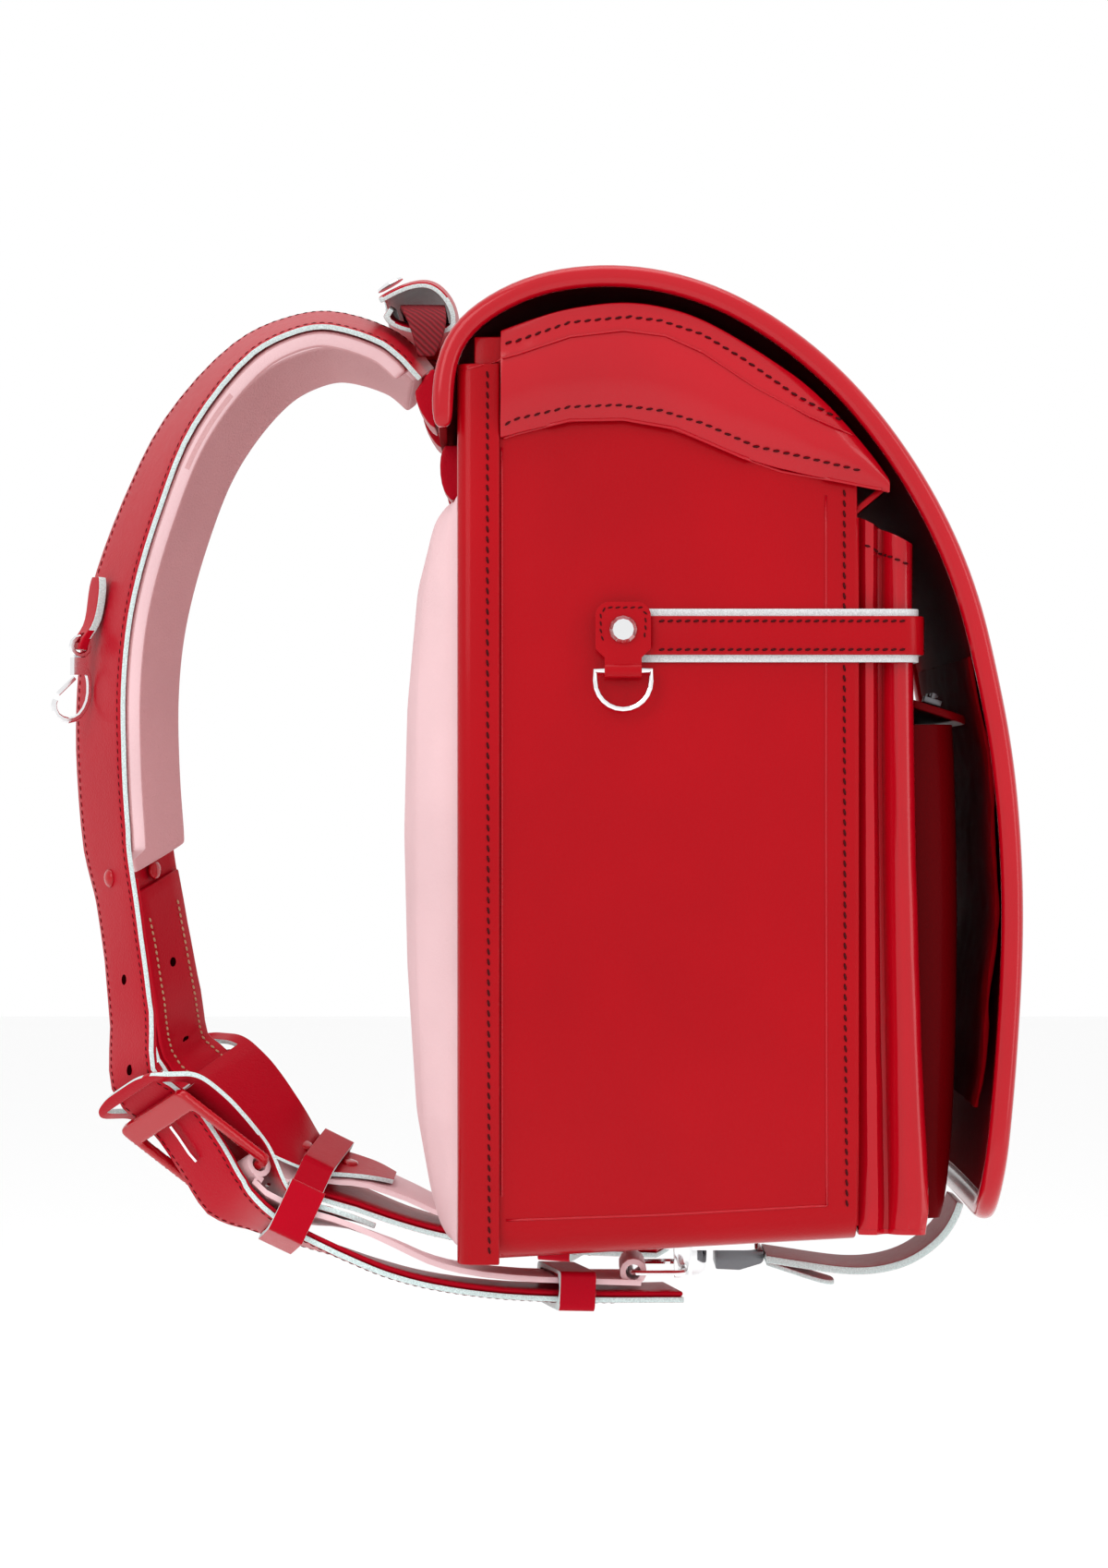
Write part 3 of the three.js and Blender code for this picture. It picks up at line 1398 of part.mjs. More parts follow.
function strapRoot(side, sign) {
  const half = strapWidth * 0.43;
  const centre = strapTable[0].side * strapSpread;
  const seat = new THREE.Vector2(
    backX - strapTable[0].out * strapReach,
    -baseDrop + strapTable[0].up * bodyHeight,
  );
  const wall = strapThickness + strapPadThickness;
  const shape = new THREE.Shape(rootTable.map((row) => new THREE.Vector2(
    seat.x + row.forward * wall,
    seat.y + row.up * wall,
  )));
  const place = basis(xAxis, zAxis, yAxis.clone().negate(), new THREE.Vector3(0, sign * centre + half, 0));
  addPiece(`strap_root_${side}`, extrudeAlong(shape, half * 2, place), 'strapLeather');

  const anchorShape = new THREE.Shape(anchorTable.map((row) => new THREE.Vector2(
    backX + bindingThickness - row.out * anchorThickness,
    flapTable[0].up * bodyHeight - baseDrop - row.down * anchorDrop,
  )));
  const back = yAxis.clone().negate();
  const anchorPlace = basis(xAxis, zAxis, back, new THREE.Vector3(0, sign * centre + anchorWidth / 2, 0));
  addPiece(`strap_anchor_${side}`, extrudeAlong(anchorShape, anchorWidth, anchorPlace), 'strapLeather');
}

function strapSet(side, sign) {
  const steps = 2 * (strapRoute.length - 1);
  const whole = routeFrames(strapRoute, sign, steps, strapWidth);
  addPiece(`strap_leather_${side}`, strip(whole, 0, -strapThickness, 1, 0.3, 2), 'strapLeather');

  // The pad and the inner leather share the outer leather's stations, so that they lie flat on it.
  const padTop = -strapThickness - gap;
  const padPart = whole.slice(1, padEnd);
  addPiece(`strap_pad_${side}`, strip(padPart, padTop, padTop - strapPadThickness, 0.98, 0.5, 4), 'lining');
  const corePart = whole.slice(padEnd);
  addPiece(`strap_core_${side}`, strip(corePart, padTop, padTop - coreThickness, 0.92, 0, 2), 'strapLeather');

  const frame = buckleParts(side, sign);
  const beltFrames = lowerBelt(side, sign, frame);
  guard(side, sign, frame, beltFrames);
  strapRing(side, sign);
  strapRoot(side, sign);
  const fine = routeFrames(strapRoute, sign, 200, strapWidth);
  const tail = fine.slice(150);
  keeper(`keeper_upper_${side}`, nearestFrame(tail, 'x', keeperUpperX), upperStack);
  keeper(`keeper_lower_${side}`, nearestFrame(tail, 'x', keeperLowerX), lowerStack);
}

// Snap hook on the near strap: it hangs by its eye from the tab's lip.
function snapHook() {
  const fine = routeFrames(strapRoute, -1, 300, strapWidth).slice(0, 150);
  const seat = nearestFrame(fine, 'z', hookLevel);
  const tabRows = (lift) => hookTabTable.map((row) => [-1, 1].map((edge) => (
    frameToWorld(seat, hookShift + (edge * hookTabWidth * row.width) / 2, row.rise + lift, row.along))));
  const tab = slab(tabRows(hookTabThickness), tabRows(0));
  const hole = localBox(hookHoleWidth, 10 * hookTabThickness, hookHoleLength, hookShift, 5, -hookHoleDrop);
  addPiece('hook_tab', cut(tab, inFrame(hole, seat)), 'strapLeather');

  const down = zAxis.clone().negate();
  const out = seat.normal.clone().setZ(0).normalize();
  const across = new THREE.Vector3().crossVectors(down, out);
  const centre = frameToWorld(seat, hookShift, hookLip, 0);
  const hook = { point: centre, across: out, normal: across, along: down };
  const place = (x, z) => new THREE.Vector3(x, 0, z);
  const eye = [];
  for (let i = 0; i < 12; i += 1) {
    const angle = (2 * Math.PI * i) / 12;
    eye.push(place(eyeRadius * Math.cos(angle), eyeRadius * Math.sin(angle)));
  }
  const ring = wire(eye, hookWire, yAxis, true, 6);
  const block = localBox(5, 4, 6.4, 0.6, 0, 7.2);
  const bow = new THREE.CatmullRomCurve3(bowTable.map((row) => place(row.out, row.down)));
  const bowWire = wire(bow.getPoints(16), hookWire, yAxis, false, 6);
  const body = join(inFrame(ring, hook), inFrame(block, hook), inFrame(bowWire, hook));
  addPiece('snap_hook', body, 'chrome');

  const gateLine = [place(gatePivot.out, gatePivot.down + 1.9), place(gateTip.out, gateTip.down)];
  const gateBar = wire(gateLine, hookWire * 0.8, yAxis, false, 6);
  addPiece('snap_gate', inFrame(gateBar, hook), 'chrome');
  return { hook, pivot: frameToWorld(hook, gatePivot.out, 0, gatePivot.down) };
}

function handle() {
  const line = handleTable.map((row) => new THREE.Vector2(
    backX - row.back * handleReach,
    -baseDrop + bodyHeight + row.rise * handleRise,
  ));
  const inside = offsetLine(line, -handleThickness);
  const half = handleLength / 2;
  const spread = [-1, -0.75, -0.4, 0, 0.4, 0.75, 1];
  const rows = (points) => spread.map((share) => points.map((p) => (
    new THREE.Vector3(p.x, share * half, p.y - handleArch * share * share))));
  addPiece('handle_leather', slab(rows(line), rows(inside)), 'strapLeather');

  const right = webbingTable.map((row) => ({ ...row, y: row.side * half }));
  const left = right.map((row) => ({ ...row, y: -row.y })).reverse();
  const course = [...left, ...right.slice(1)];
  const path = course.map((row) => new THREE.Vector2(row.y, -baseDrop + bodyHeight + row.rise * handleRise));
  const under = offsetLine(path, -webbingThickness);
  const web = (points) => points.map((p, k) => [course[k].from, course[k].to].map((share) => (
    new THREE.Vector3(backX - share * handleReach, p.x, p.y))));
  addPiece('handle_webbing', slab(web(path), web(under)), 'webbing');

  const rivets = [-1, 1].map((sign) => {
    const y = sign * half * 0.7;
    const profile = [
      new THREE.Vector2(0, 0),
      new THREE.Vector2(5.5, 0),
      new THREE.Vector2(5, 0.9),
      new THREE.Vector2(2.6, 1.6),
      new THREE.Vector2(0, 1.8),
    ];
    const rivet = new THREE.LatheGeometry(profile, 10).rotateX(Math.PI / 2);
    const slope = new THREE.Vector2().subVectors(line[1], line[0]);
    const lean = slope.angle();
    rivet.rotateY(-lean);
    const seat = line[0].clone().lerp(line[1], 0.62);
    const lift = 4 * gap;
    rivet.translate(seat.x - lift * Math.sin(lean), y, seat.y - handleArch / 2 + lift * Math.cos(lean));
    return rivet;
  });
  rivets.forEach((rivet, k) => {
    addPiece(`handle_rivet_${sides[k].side}`, mergeLathe(rivet), 'chrome');
  });
}

for (const { side, sign } of sides) {
  edgeBinding(side, sign);
  topBand(side, sign);
  sideTab(side, sign);
  strapSet(side, sign);
}
mainGusset();
backBoard();
backPad();
frontWall();
frontPocket();
zipPocket();
sideBelt();
flap();
closingBelt();
lock();
snapHook();
handle();

export default bag;
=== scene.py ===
import bpy
import bmesh
import math
from mathutils import Matrix, Vector
from mathutils.bvhtree import BVHTree


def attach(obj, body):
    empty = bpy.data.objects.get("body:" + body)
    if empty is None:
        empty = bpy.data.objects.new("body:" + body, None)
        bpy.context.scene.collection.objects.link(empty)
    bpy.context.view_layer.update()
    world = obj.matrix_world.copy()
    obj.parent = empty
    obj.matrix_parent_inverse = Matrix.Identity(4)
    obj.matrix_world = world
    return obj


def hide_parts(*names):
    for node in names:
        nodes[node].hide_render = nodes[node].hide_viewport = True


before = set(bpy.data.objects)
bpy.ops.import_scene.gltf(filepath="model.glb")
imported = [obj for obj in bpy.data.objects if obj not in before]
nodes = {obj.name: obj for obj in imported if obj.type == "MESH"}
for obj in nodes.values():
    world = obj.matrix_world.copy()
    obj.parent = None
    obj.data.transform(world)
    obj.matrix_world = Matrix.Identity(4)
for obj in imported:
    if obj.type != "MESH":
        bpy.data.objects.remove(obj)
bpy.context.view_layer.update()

mm = 0.001
sides = (("left", -1), ("right", 1))
gap = 0.3

# Finishes: colour, roughness, grain per metre, depth of the grain, top coat and shine
finishes = {
    "redLeather": ((0.36, 0.0006, 0.005), 0.3, 1100, 0.06, 0.12, 0.35),
    # The next finish is the red made lighter, with more top coat and less roughness: the lighter colour
    # is a painted highlight on the bands, seams, pocket and flap
    "litGlossLeather": ((0.42, 0.001, 0.008), 0.24, 1000, 0.05, 0.5, 0.4),
    # The next finish is the red made darker: painted shade for the zip pocket and its lid
    "shadedRedLeather": ((0.13, 0.0003, 0.002), 0.42, 1100, 0.1, 0.03, 0.25),
    # The next finish is a darker, matte red: painted shade on the flap's inner side and its pouch
    "shadedFlapInside": ((0.17, 0.0006, 0.003), 0.62, 1500, 0.12, 0, 0.08),
    "strapLeather": ((0.4, 0.002, 0.012), 0.34, 1300, 0.09, 0.03, 0.25),
    "pinkLeather": ((0.76, 0.52, 0.54), 0.55, 1600, 0.12, 0, 0.25),
    # The next finish is the pink made darker: painted shade on the strap pads' broad faces
    "shadedLiningLeather": ((0.62, 0.36, 0.37), 0.6, 1200, 0.3, 0, 0.2),
    "holeShade": ((0.012, 0.0002, 0.0006), 0.9, 900, 0.02, 0, 0),
    "redGloss": ((0.4, 0.001, 0.007), 0.14, 600, 0.02, 0.5, 0.5),
}
# Thread, cut edges and reflector: colour, roughness, fibres per metre and their depth
fibres = {
    "redThread": ((0.06, 0.0004, 0.002), 0.6, 2600, 0.4),
    "beigeThread": ((0.5, 0.3, 0.18), 0.7, 2600, 0.4),
    "cutEdge": ((0.6, 0.72, 0.71), 0.8, 1800, 0.5),
    "silver": ((0.62, 0.63, 0.64), 0.42, 2200, 0.25),
}


def newMaterial(name):
    material = bpy.data.materials.new(name)
    material.use_nodes = True
    tree = material.node_tree
    shader = tree.nodes["Principled BSDF"]
    return material, tree, shader


def objectCoords(tree):
    return tree.nodes.new("ShaderNodeTexCoord").outputs["Object"]


def textureNode(tree, kind, coords, **values):
    node = tree.nodes.new(kind)
    for key, value in values.items():
        node.inputs[key].default_value = value
    tree.links.new(coords, node.inputs["Vector"])
    return node


# The colour wanders between two shades with a texture's factor
def shade(tree, shader, factor, dark, light, stops=(0, 1)):
    ramp = tree.nodes.new("ShaderNodeValToRGB")
    for element, stop, colour in zip(ramp.color_ramp.elements, stops, (dark, light)):
        element.position = stop
        element.color = [*colour, 1]
    tree.links.new(factor, ramp.inputs["Fac"])
    tree.links.new(ramp.outputs["Color"], shader.inputs["Base Color"])


def emboss(tree, shader, height, strength, distance):
    bump = tree.nodes.new("ShaderNodeBump")
    bump.inputs["Strength"].default_value = strength
    bump.inputs["Distance"].default_value = distance
    tree.links.new(height, bump.inputs["Height"])
    tree.links.new(bump.outputs["Normal"], shader.inputs["Normal"])


def roughen(tree, shader, factor, low, high):
    spread = tree.nodes.new("ShaderNodeMapRange")
    spread.inputs["To Min"].default_value = low
    spread.inputs["To Max"].default_value = high
    tree.links.new(factor, spread.inputs["Value"])
    tree.links.new(spread.outputs["Result"], shader.inputs["Roughness"])


def times(colour, factor):
    return [min(c * factor, 1) for c in colour]


# Leather: fine pebbled grain, soft colour drift and a clear top coat
def leatherMaterial(name, colour, rough, grain, depth, coat, shine):
    material, tree, shader = newMaterial(name)
    coords = objectCoords(tree)
    drift = textureNode(tree, "ShaderNodeTexNoise", coords, Scale=14, Detail=3)
    shade(tree, shader, drift.outputs["Fac"], times(colour, 0.9), times(colour, 1.08), (0.25, 0.8))
    pebble = tree.nodes.new("ShaderNodeTexVoronoi")
    pebble.feature = "SMOOTH_F1"
    pebble.inputs["Scale"].default_value = grain
    tree.links.new(coords, pebble.inputs["Vector"])
    wave = textureNode(tree, "ShaderNodeTexNoise", coords, Scale=grain / 5, Detail=6, Roughness=0.65)
    both = tree.nodes.new("ShaderNodeMath")
    both.operation = "MULTIPLY_ADD"
    both.inputs[1].default_value = 1.4
    tree.links.new(pebble.outputs["Distance"], both.inputs[0])
    tree.links.new(wave.outputs["Fac"], both.inputs[2])
    emboss(tree, shader, both.outputs["Value"], depth, 0.0006)
    roughen(tree, shader, wave.outputs["Fac"], rough * 0.85, rough * 1.2)
    tint = [0.3 + 0.7 * c / max(colour) for c in colour[1:]]
    shader.inputs["Specular IOR Level"].default_value = shine
    shader.inputs["IOR"].default_value = 1 + 1.1 * min(shine, 0.4)
    shader.inputs["Specular Tint"].default_value = (1, *tint, 1)
    shader.inputs["Coat Weight"].default_value = coat
    shader.inputs["Coat Roughness"].default_value = 0.12
    return material


# Metal with faint polishing marks
def metalMaterial(name, colour, rough):
    material, tree, shader = newMaterial(name)
    shader.inputs["Base Color"].default_value = (*colour, 1)
    shader.inputs["Metallic"].default_value = 1
    marks = textureNode(tree, "ShaderNodeTexNoise", objectCoords(tree), Scale=700)
    roughen(tree, shader, marks.outputs["Fac"], rough * 0.7, rough * 1.5)
    return material


# Thread, cut edges and reflector: fibres along a fine wave
def fibreMaterial(name, colour, rough, scale, depth):
    material, tree, shader = newMaterial(name)
    fibre = textureNode(tree, "ShaderNodeTexNoise", objectCoords(tree), Scale=scale, Detail=6)
    shade(tree, shader, fibre.outputs["Fac"], times(colour, 0.75), times(colour, 1.15), (0.3, 0.7))
    emboss(tree, shader, fibre.outputs["Fac"], depth, 0.0003)
    shader.inputs["Roughness"].default_value = rough
    shader.inputs["Specular IOR Level"].default_value = 0.12
    return material


# Webbing: ribs across the run, woven on the piece's own coordinates
def webbingMaterial(name, colour):
    material, tree, shader = newMaterial(name)
    rib = textureNode(tree, "ShaderNodeTexWave", objectCoords(tree), Scale=260, Distortion=1.5)
    rib.wave_type = "BANDS"
    rib.bands_direction = "DIAGONAL"
    shade(tree, shader, rib.outputs["Fac"], times(colour, 0.45), colour)
    emboss(tree, shader, rib.outputs["Fac"], 0.6, 0.0006)
    shader.inputs["Roughness"].default_value = 0.8
    return material


mats = {name: leatherMaterial(name, *values) for name, values in finishes.items()}
mats["chrome"] = metalMaterial("chrome", (0.83, 0.83, 0.84), 0.12)
mats["darkMetal"] = metalMaterial("darkMetal", (0.16, 0.16, 0.17), 0.3)
mats.update({name: fibreMaterial(name, *values) for name, values in fibres.items()})
mats["webbing"] = webbingMaterial("webbing", (0.26, 0.003, 0.012))
print("finishes ready")


def dressNode(node, material):
    mesh = nodes[node].data
    mesh.materials.clear()
    mesh.materials.append(mats[material])


def finishPiece(name, bm, materials, body="root"):
    mesh = bpy.data.meshes.new(name)
    bm.to_mesh(mesh)
    bm.free()
    piece = bpy.data.objects.new(name, mesh)
    bpy.context.collection.objects.link(piece)
    for material in materials:
        mesh.materials.append(mats[material])
    mesh.polygons.foreach_set("use_smooth", [True] * len(mesh.polygons))
    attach(piece, body)
    return piece


def subdivide(piece, levels):
    modifier = piece.modifiers.new("subdivide", "SUBSURF")
    modifier.levels = levels
    modifier.render_levels = levels


# The cut edge of a sheet: faces with more than a wall of leather behind them
rimDepth = 0.03


def paintRim(bm, solid, wall):
    for face in bm.faces:
        start = face.calc_center_median() - face.normal * rimDepth * mm
        hit = solid.ray_cast(start, -face.normal)
        if hit[0] is not None and hit[3] > wall * mm:
            face.material_index = 1


# A copy of a solid with eased edges and a smooth skin, in place of the faceted one
def softCopy(node, name, material, edge=0.5, levels=1, sharp=32, segments=2, rim=None,
             wall=3.4):
    bm = bmesh.new()
    bm.from_mesh(nodes[node].data)
    solid = BVHTree.FromBMesh(bm)
    bmesh.ops.remove_doubles(bm, verts=bm.verts, dist=2e-5)
    bmesh.ops.dissolve_degenerate(bm, edges=bm.edges, dist=1e-6)
    bmesh.ops.join_triangles(bm, faces=bm.faces, angle_face_threshold=math.radians(25),
                             angle_shape_threshold=math.radians(60))
    hard = [e for e in bm.edges if e.is_manifold and e.calc_face_angle(0) > math.radians(sharp)]
    if edge and hard:
        bmesh.ops.bevel(bm, geom=hard, offset=edge * mm, segments=segments, profile=0.5,
                        affect="EDGES", material=-1, clamp_overlap=True)
    if rim:
        paintRim(bm, solid, wall)
    piece = finishPiece(name, bm, [material, rim] if rim else [material])
    if levels:
        subdivide(piece, levels)
    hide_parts(node)
    return piece


# A moulded piece: the solid's skin melted round at its edges
def moulded(node, name, material, voxel, passes):
    piece = softCopy(node, name, material, edge=0, levels=0)
    melt = piece.modifiers.new("melt", "REMESH")
    melt.mode = "VOXEL"
    melt.voxel_size = voxel * mm
    melt.use_smooth_shade = True
    smooth = piece.modifiers.new("smooth", "SMOOTH")
    smooth.factor = 0.5
    smooth.iterations = passes
    return piece


# A small round part: its profile of radius and height, turned about a surface's normal
def turned(name, point, normal, profile, material):
    bm = bmesh.new()
    verts = [bm.verts.new((radius * mm, 0, high * mm)) for radius, high in profile]
    edges = [bm.edges.new(pair) for pair in zip(verts, verts[1:])]
    bmesh.ops.spin(bm, geom=verts + edges, cent=(0, 0, 0), axis=(0, 0, 1), angle=math.tau, steps=24,
                   use_merge=True)
    bmesh.ops.remove_doubles(bm, verts=bm.verts, dist=1e-6)
    bmesh.ops.dissolve_degenerate(bm, edges=bm.edges, dist=1e-7)
    bmesh.ops.recalc_face_normals(bm, faces=bm.faces)
    turn = normal.to_track_quat("Z", "Y").to_matrix().to_4x4()
    bmesh.ops.transform(bm, matrix=Matrix.Translation(point) @ turn, verts=bm.verts)
    return finishPiece(name, bm, [material])


profiles = {
    "dome": [(0, -0.9), (3.4, -0.9), (3.4, 0.35), (3.1, 0.8), (2.3, 1.45), (1.2, 1.8), (0, 1.95)],
    "stud": [(0, -0.9), (3.6, -0.9), (3.6, 0.2), (3.2, 0.75), (2.0, 1.05), (0, 1.15)],
    "hole": [(0, -0.5), (1.9, -0.5), (1.9, 0.04), (1.6, 0.1), (0, 0.08)],
}


# Shallow wrinkles of soft leather
def wrinkle(piece, size, strength):
    texture = bpy.data.textures.new(piece.name + "Creases", "CLOUDS")
    texture.noise_scale = size * mm
    texture.noise_depth = 3
    modifier = piece.modifiers.new("creases", "DISPLACE")
    modifier.texture = texture
    modifier.texture_coords = "LOCAL"
    modifier.strength = strength * mm
    modifier.mid_level = 0.5


# Camera at the photograph's place: level, a little before the bag's near side
cameraSizes = dict(lens=92, sensor=36, far=20, place=(0.0539, -1.52, 0.0165))


def makeCamera():
    camera = bpy.data.cameras.new("camera")
    camera.lens = cameraSizes["lens"]
    camera.sensor_width = cameraSizes["sensor"]
    camera.clip_end = cameraSizes["far"]
    holder = bpy.data.objects.new("camera", camera)
    holder.location = cameraSizes["place"]
    holder.rotation_euler = (math.radians(90), 0, 0)
    bpy.context.collection.objects.link(holder)
    bpy.context.scene.camera = holder


makeCamera()

# Shoulder strap's run: out, up, side, roll and width as shares, then the buckle's own rows
strapSizes = dict(backX=20, reach=132, spread=88, height=350, drop=151.6, width=43, lowerWidth=31,
                  tail=0.72, thickness=2, coreThickness=1.9, padEnd=24)
strapRows = [
    (0.093, 0.914, 0.49, 10, 1), (0.145, 0.936, 0.5, 11, 1), (0.209, 0.954, 0.51, 12, 1),
    (0.367, 0.971, 0.535, 13, 1), (0.476, 0.965, 0.55, 14, 1), (0.611, 0.939, 0.57, 16, 1),
    (0.789, 0.86, 0.6, 20, 1), (0.891, 0.775, 0.625, 24, 1), (0.97, 0.68, 0.66, 27, 1),
    (1, 0.6, 0.67, 28, 1), (1.004, 0.52, 0.68, 29, 1), (0.985, 0.421, 0.705, 29, 0.97),
    (0.958, 0.37, 0.75, 30, 0.8), (0.93, 0.31, 0.82, 32, 0.72), (0.906, 0.247, 0.9, 34, 0.72),
    None,
    (0.555, 0.036, 1.03, 24, 0.72), (0.455, 0.016, 1.02, 13, 0.72), (0.335, -0.002, 1.01, 7, 0.72),
    (0.21, -0.02, 1, 4, 0.72), (0.085, -0.033, 0.98, 3, 0.72), (-0.1, -0.044, 0.93, 2, 0.72),
    (-0.34, -0.05, 0.85, 1, 0.72), (-0.585, -0.052, 0.77, 0, 0.72),
]
# Across the buckle: along, lift and roll
buckleRows = [
    (-33.06, -3.9, 37), (-22.8, -2.5, 41), (-14.06, -2.1, 41), (1.9, 3.862, 41), (16.72, 10.6, 40),
]
lowerRows = [
    (0.49, 0.044, 1, 18, 1), (0.4, 0.035, 1.005, 13, 1), (0.31, 0.028, 1, 8, 1),
    (0.18, 0.009, 1, 5, 1), (0.089, -0.007, 0.99, 4, 1), (0.0, -0.017, 0.97, 3, 1),
    (-0.16, -0.026, 0.91, 2, 1), (-0.33, -0.03, 0.85, 1, 1), (-0.465, -0.0325, 0.8, 0, 1),
]
lowerBuckleRows = [(17.4, 4.8, 41), (23.56, 4.9, 38)]


def routePoint(out, up, side):
    s = strapSizes
    return Vector((s["backX"] - out * s["reach"], -side * s["spread"], -s["drop"] + up * s["height"]))


def buckleAxes():
    across = Vector((-0.568, 0.728, -0.387)).normalized()
    along = Vector((0.77, 0.26, -0.64))
    along = (along - across * across.dot(along)).normalized()
    point = routePoint(0.702, 0.108, 1)
    return dict(point=point, across=across, along=along, normal=across.cross(along))


buckle = buckleAxes()


def buckleRow(along, lift, roll, width):
    point = buckle["point"] + buckle["along"] * along + buckle["normal"] * lift
    return dict(point=point, roll=roll, width=width)


def tableRow(row):
    return dict(point=routePoint(*row[:3]), roll=row[3], width=row[4])


def strapRoute():
    rows = []
    for row in strapRows:
        if row is None:
            rows += [buckleRow(*values, strapSizes["tail"]) for values in buckleRows]
        else:
            rows.append(tableRow(row))
    return rows


def lowerRoute():
    start = [buckleRow(*values, 1) for values in lowerBuckleRows]
    return start + [tableRow(row) for row in lowerRows]


# Centripetal curve through the rows, as the solids' own
def curveAt(points, share, delta=0.0):
    position = min(max(share + delta, 0), 1) * (len(points) - 1)
    low = min(int(position), len(points) - 2)
    w = position - low
    first, second = points[low], points[low + 1]
    before = points[low - 1] if low > 0 else first * 2 - second
    after = points[low + 2] if low + 2 < len(points) else second * 2 - first
    pairs = ((before, first), (first, second), (second, after))
    t0, t1, t2 = [max((b - a).length_squared ** 0.25, 1e-4) for a, b in pairs]
    m1 = ((first - before) / t0 - (second - before) / (t0 + t1) + (second - first) / t1) * t1
    m2 = ((second - first) / t1 - (after - first) / (t1 + t2) + (after - second) / t2) * t1
    return (first + m1 * w + (first * -3 + second * 3 - m1 * 2 - m2) * w * w
            + (first * 2 - second * 2 + m1 + m2) * w ** 3)


# Places along a run with its own axes; the far side is the near side's mirror image
nudge = 1e-4


def routeFrames(rows, sign, count, fullWidth):
    points = [row["point"] for row in rows]
    frames = []
    for k in range(count + 1):
        share = k / count
        position = share * (len(rows) - 1)
        low = min(int(position), len(rows) - 2)
        part = position - low
        roll = math.radians(rows[low]["roll"] * (1 - part) + rows[low + 1]["roll"] * part)
        width = rows[low]["width"] * (1 - part) + rows[low + 1]["width"] * part
        along = (curveAt(points, share, nudge) - curveAt(points, share, -nudge)).normalized()
        level = Vector((0, 1, 0))
        level = (level - along * level.dot(along)).normalized()
        outward = level.cross(along).normalized()
        across = level * math.cos(roll) + outward * math.sin(roll)
        normal = outward * math.cos(roll) - level * math.sin(roll)
        values = dict(point=curveAt(points, share), across=across, normal=normal)
        if sign > 0:
            values = {key: Vector((v.x, -v.y, v.z)) for key, v in values.items()}
        values["width"] = fullWidth * width
        frames.append(values)
    return frames


def inFrame(place, across, high):
    return (place["point"] + place["across"] * across + place["normal"] * high) * mm


# A strip along frames: a grid laid on them, closed into a wall whose cut edges show pale
def strapStrip(name, places, high, thickness, scale, columns, materials, node, crown=0.0, edge=0.25):
    bm = bmesh.new()
    rows = len(places)
    bmesh.ops.create_grid(bm, x_segments=rows - 1, y_segments=columns, size=1)
    for vert in bm.verts:
        row = round((vert.co.x + 1) / 2 * (rows - 1))
        share = vert.co.y
        place = places[row]
        rise = high - crown * share ** 4
        vert.co = inFrame(place, place["width"] * scale * share / 2, rise)
    middle = places[rows // 2]
    bmesh.ops.recalc_face_normals(bm, faces=bm.faces)
    face = min(bm.faces, key=lambda f: (f.calc_center_median() - middle["point"] * mm).length)
    if face.normal.dot(middle["normal"]) < 0:
        bmesh.ops.reverse_faces(bm, faces=bm.faces)
    piece = finishPiece(name, bm, materials)
    wall = piece.modifiers.new("wall", "SOLIDIFY")
    wall.thickness = thickness * mm
    wall.offset = -1
    wall.use_even_offset = False
    if len(materials) > 1:
        wall.material_offset_rim = 1
    ease = piece.modifiers.new("ease", "BEVEL")
    ease.width = edge * mm
    ease.segments = 2
    ease.limit_method = "ANGLE"
    ease.angle_limit = math.radians(50)
    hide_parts(node)
    return piece


# Stitches: one small rounded bar each, along a line on a surface
stitchSizes = dict(share=2.6 / 3.3, radius=0.5, slant=12, lift=0.25)


def stitchRow(name, line, pitch, material="redThread", radius=stitchSizes["radius"]):
    length = pitch * stitchSizes["share"]
    bm = bmesh.new()
    travelled = pitch / 2
    for (start, startNormal), (end, endNormal) in zip(line, line[1:]):
        span = (end - start).length / mm
        if span < 1e-6:
            continue
        along = (end - start).normalized()
        while travelled < span:
            share = travelled / span
            normal = startNormal.lerp(endNormal, share)
            normal = (normal - along * normal.dot(along)).normalized()
            across = normal.cross(along)
            turn = Matrix((along, across, normal)).transposed().to_4x4()
            slant = Matrix.Rotation(math.radians(stitchSizes["slant"]), 4, "Z")
            size = Matrix.Diagonal((length * mm / 2, radius * mm, radius * mm, 1))
            lift = normal * radius * mm * stitchSizes["lift"]
            place = Matrix.Translation(start.lerp(end, share) + lift) @ turn
            bmesh.ops.create_icosphere(bm, subdivisions=1, radius=1, matrix=place @ slant @ size)
            travelled += pitch
        travelled -= span
    return finishPiece(name, bm, [material])


# A line on a strap's frames, at a share of its half width; side -1 looks at its underside
def rowOnFrames(places, offset, high, side=1):
    return [(inFrame(p, offset * p["width"] / 2, high), p["normal"] * side) for p in places]


# Surfaces to lay stitches on, looked at from the side or the front
def surfaceOf(names):
    bm = bmesh.new()
    for name in names:
        bm.from_mesh(nodes[name].data)
    tree = BVHTree.FromBMesh(bm)
    bm.free()
    return tree


def layLine(tree, points, origin, direction):
    line = []
    for point in points:
        hit, normal, _, _ = tree.ray_cast(origin(point), direction)
        if hit is not None:
            line.append((hit, normal if normal.dot(direction) < 0 else -normal))
    return line


# Side outlines were read in the photograph's pixels; this gives millimetres as (x, z)
photoScale = dict(column=495, row=900, pixel=0.3226, shift=20)


def photoPoint(x, y):
    p = photoScale
    return (x - p["column"]) * p["pixel"] + p["shift"], (p["row"] - y) * p["pixel"]


def densify(points, count=8):
    dense = []
    for a, b in zip(points, points[1:]):
        dense += [tuple(p + (q - p) * i / count for p, q in zip(a, b)) for i in range(count)]
    return dense + [points[-1]]


# Where the rays start, in metres: beside the bag, before it and round the flap
rayStart = dict(side=0.2, front=0.25, flap=0.35)


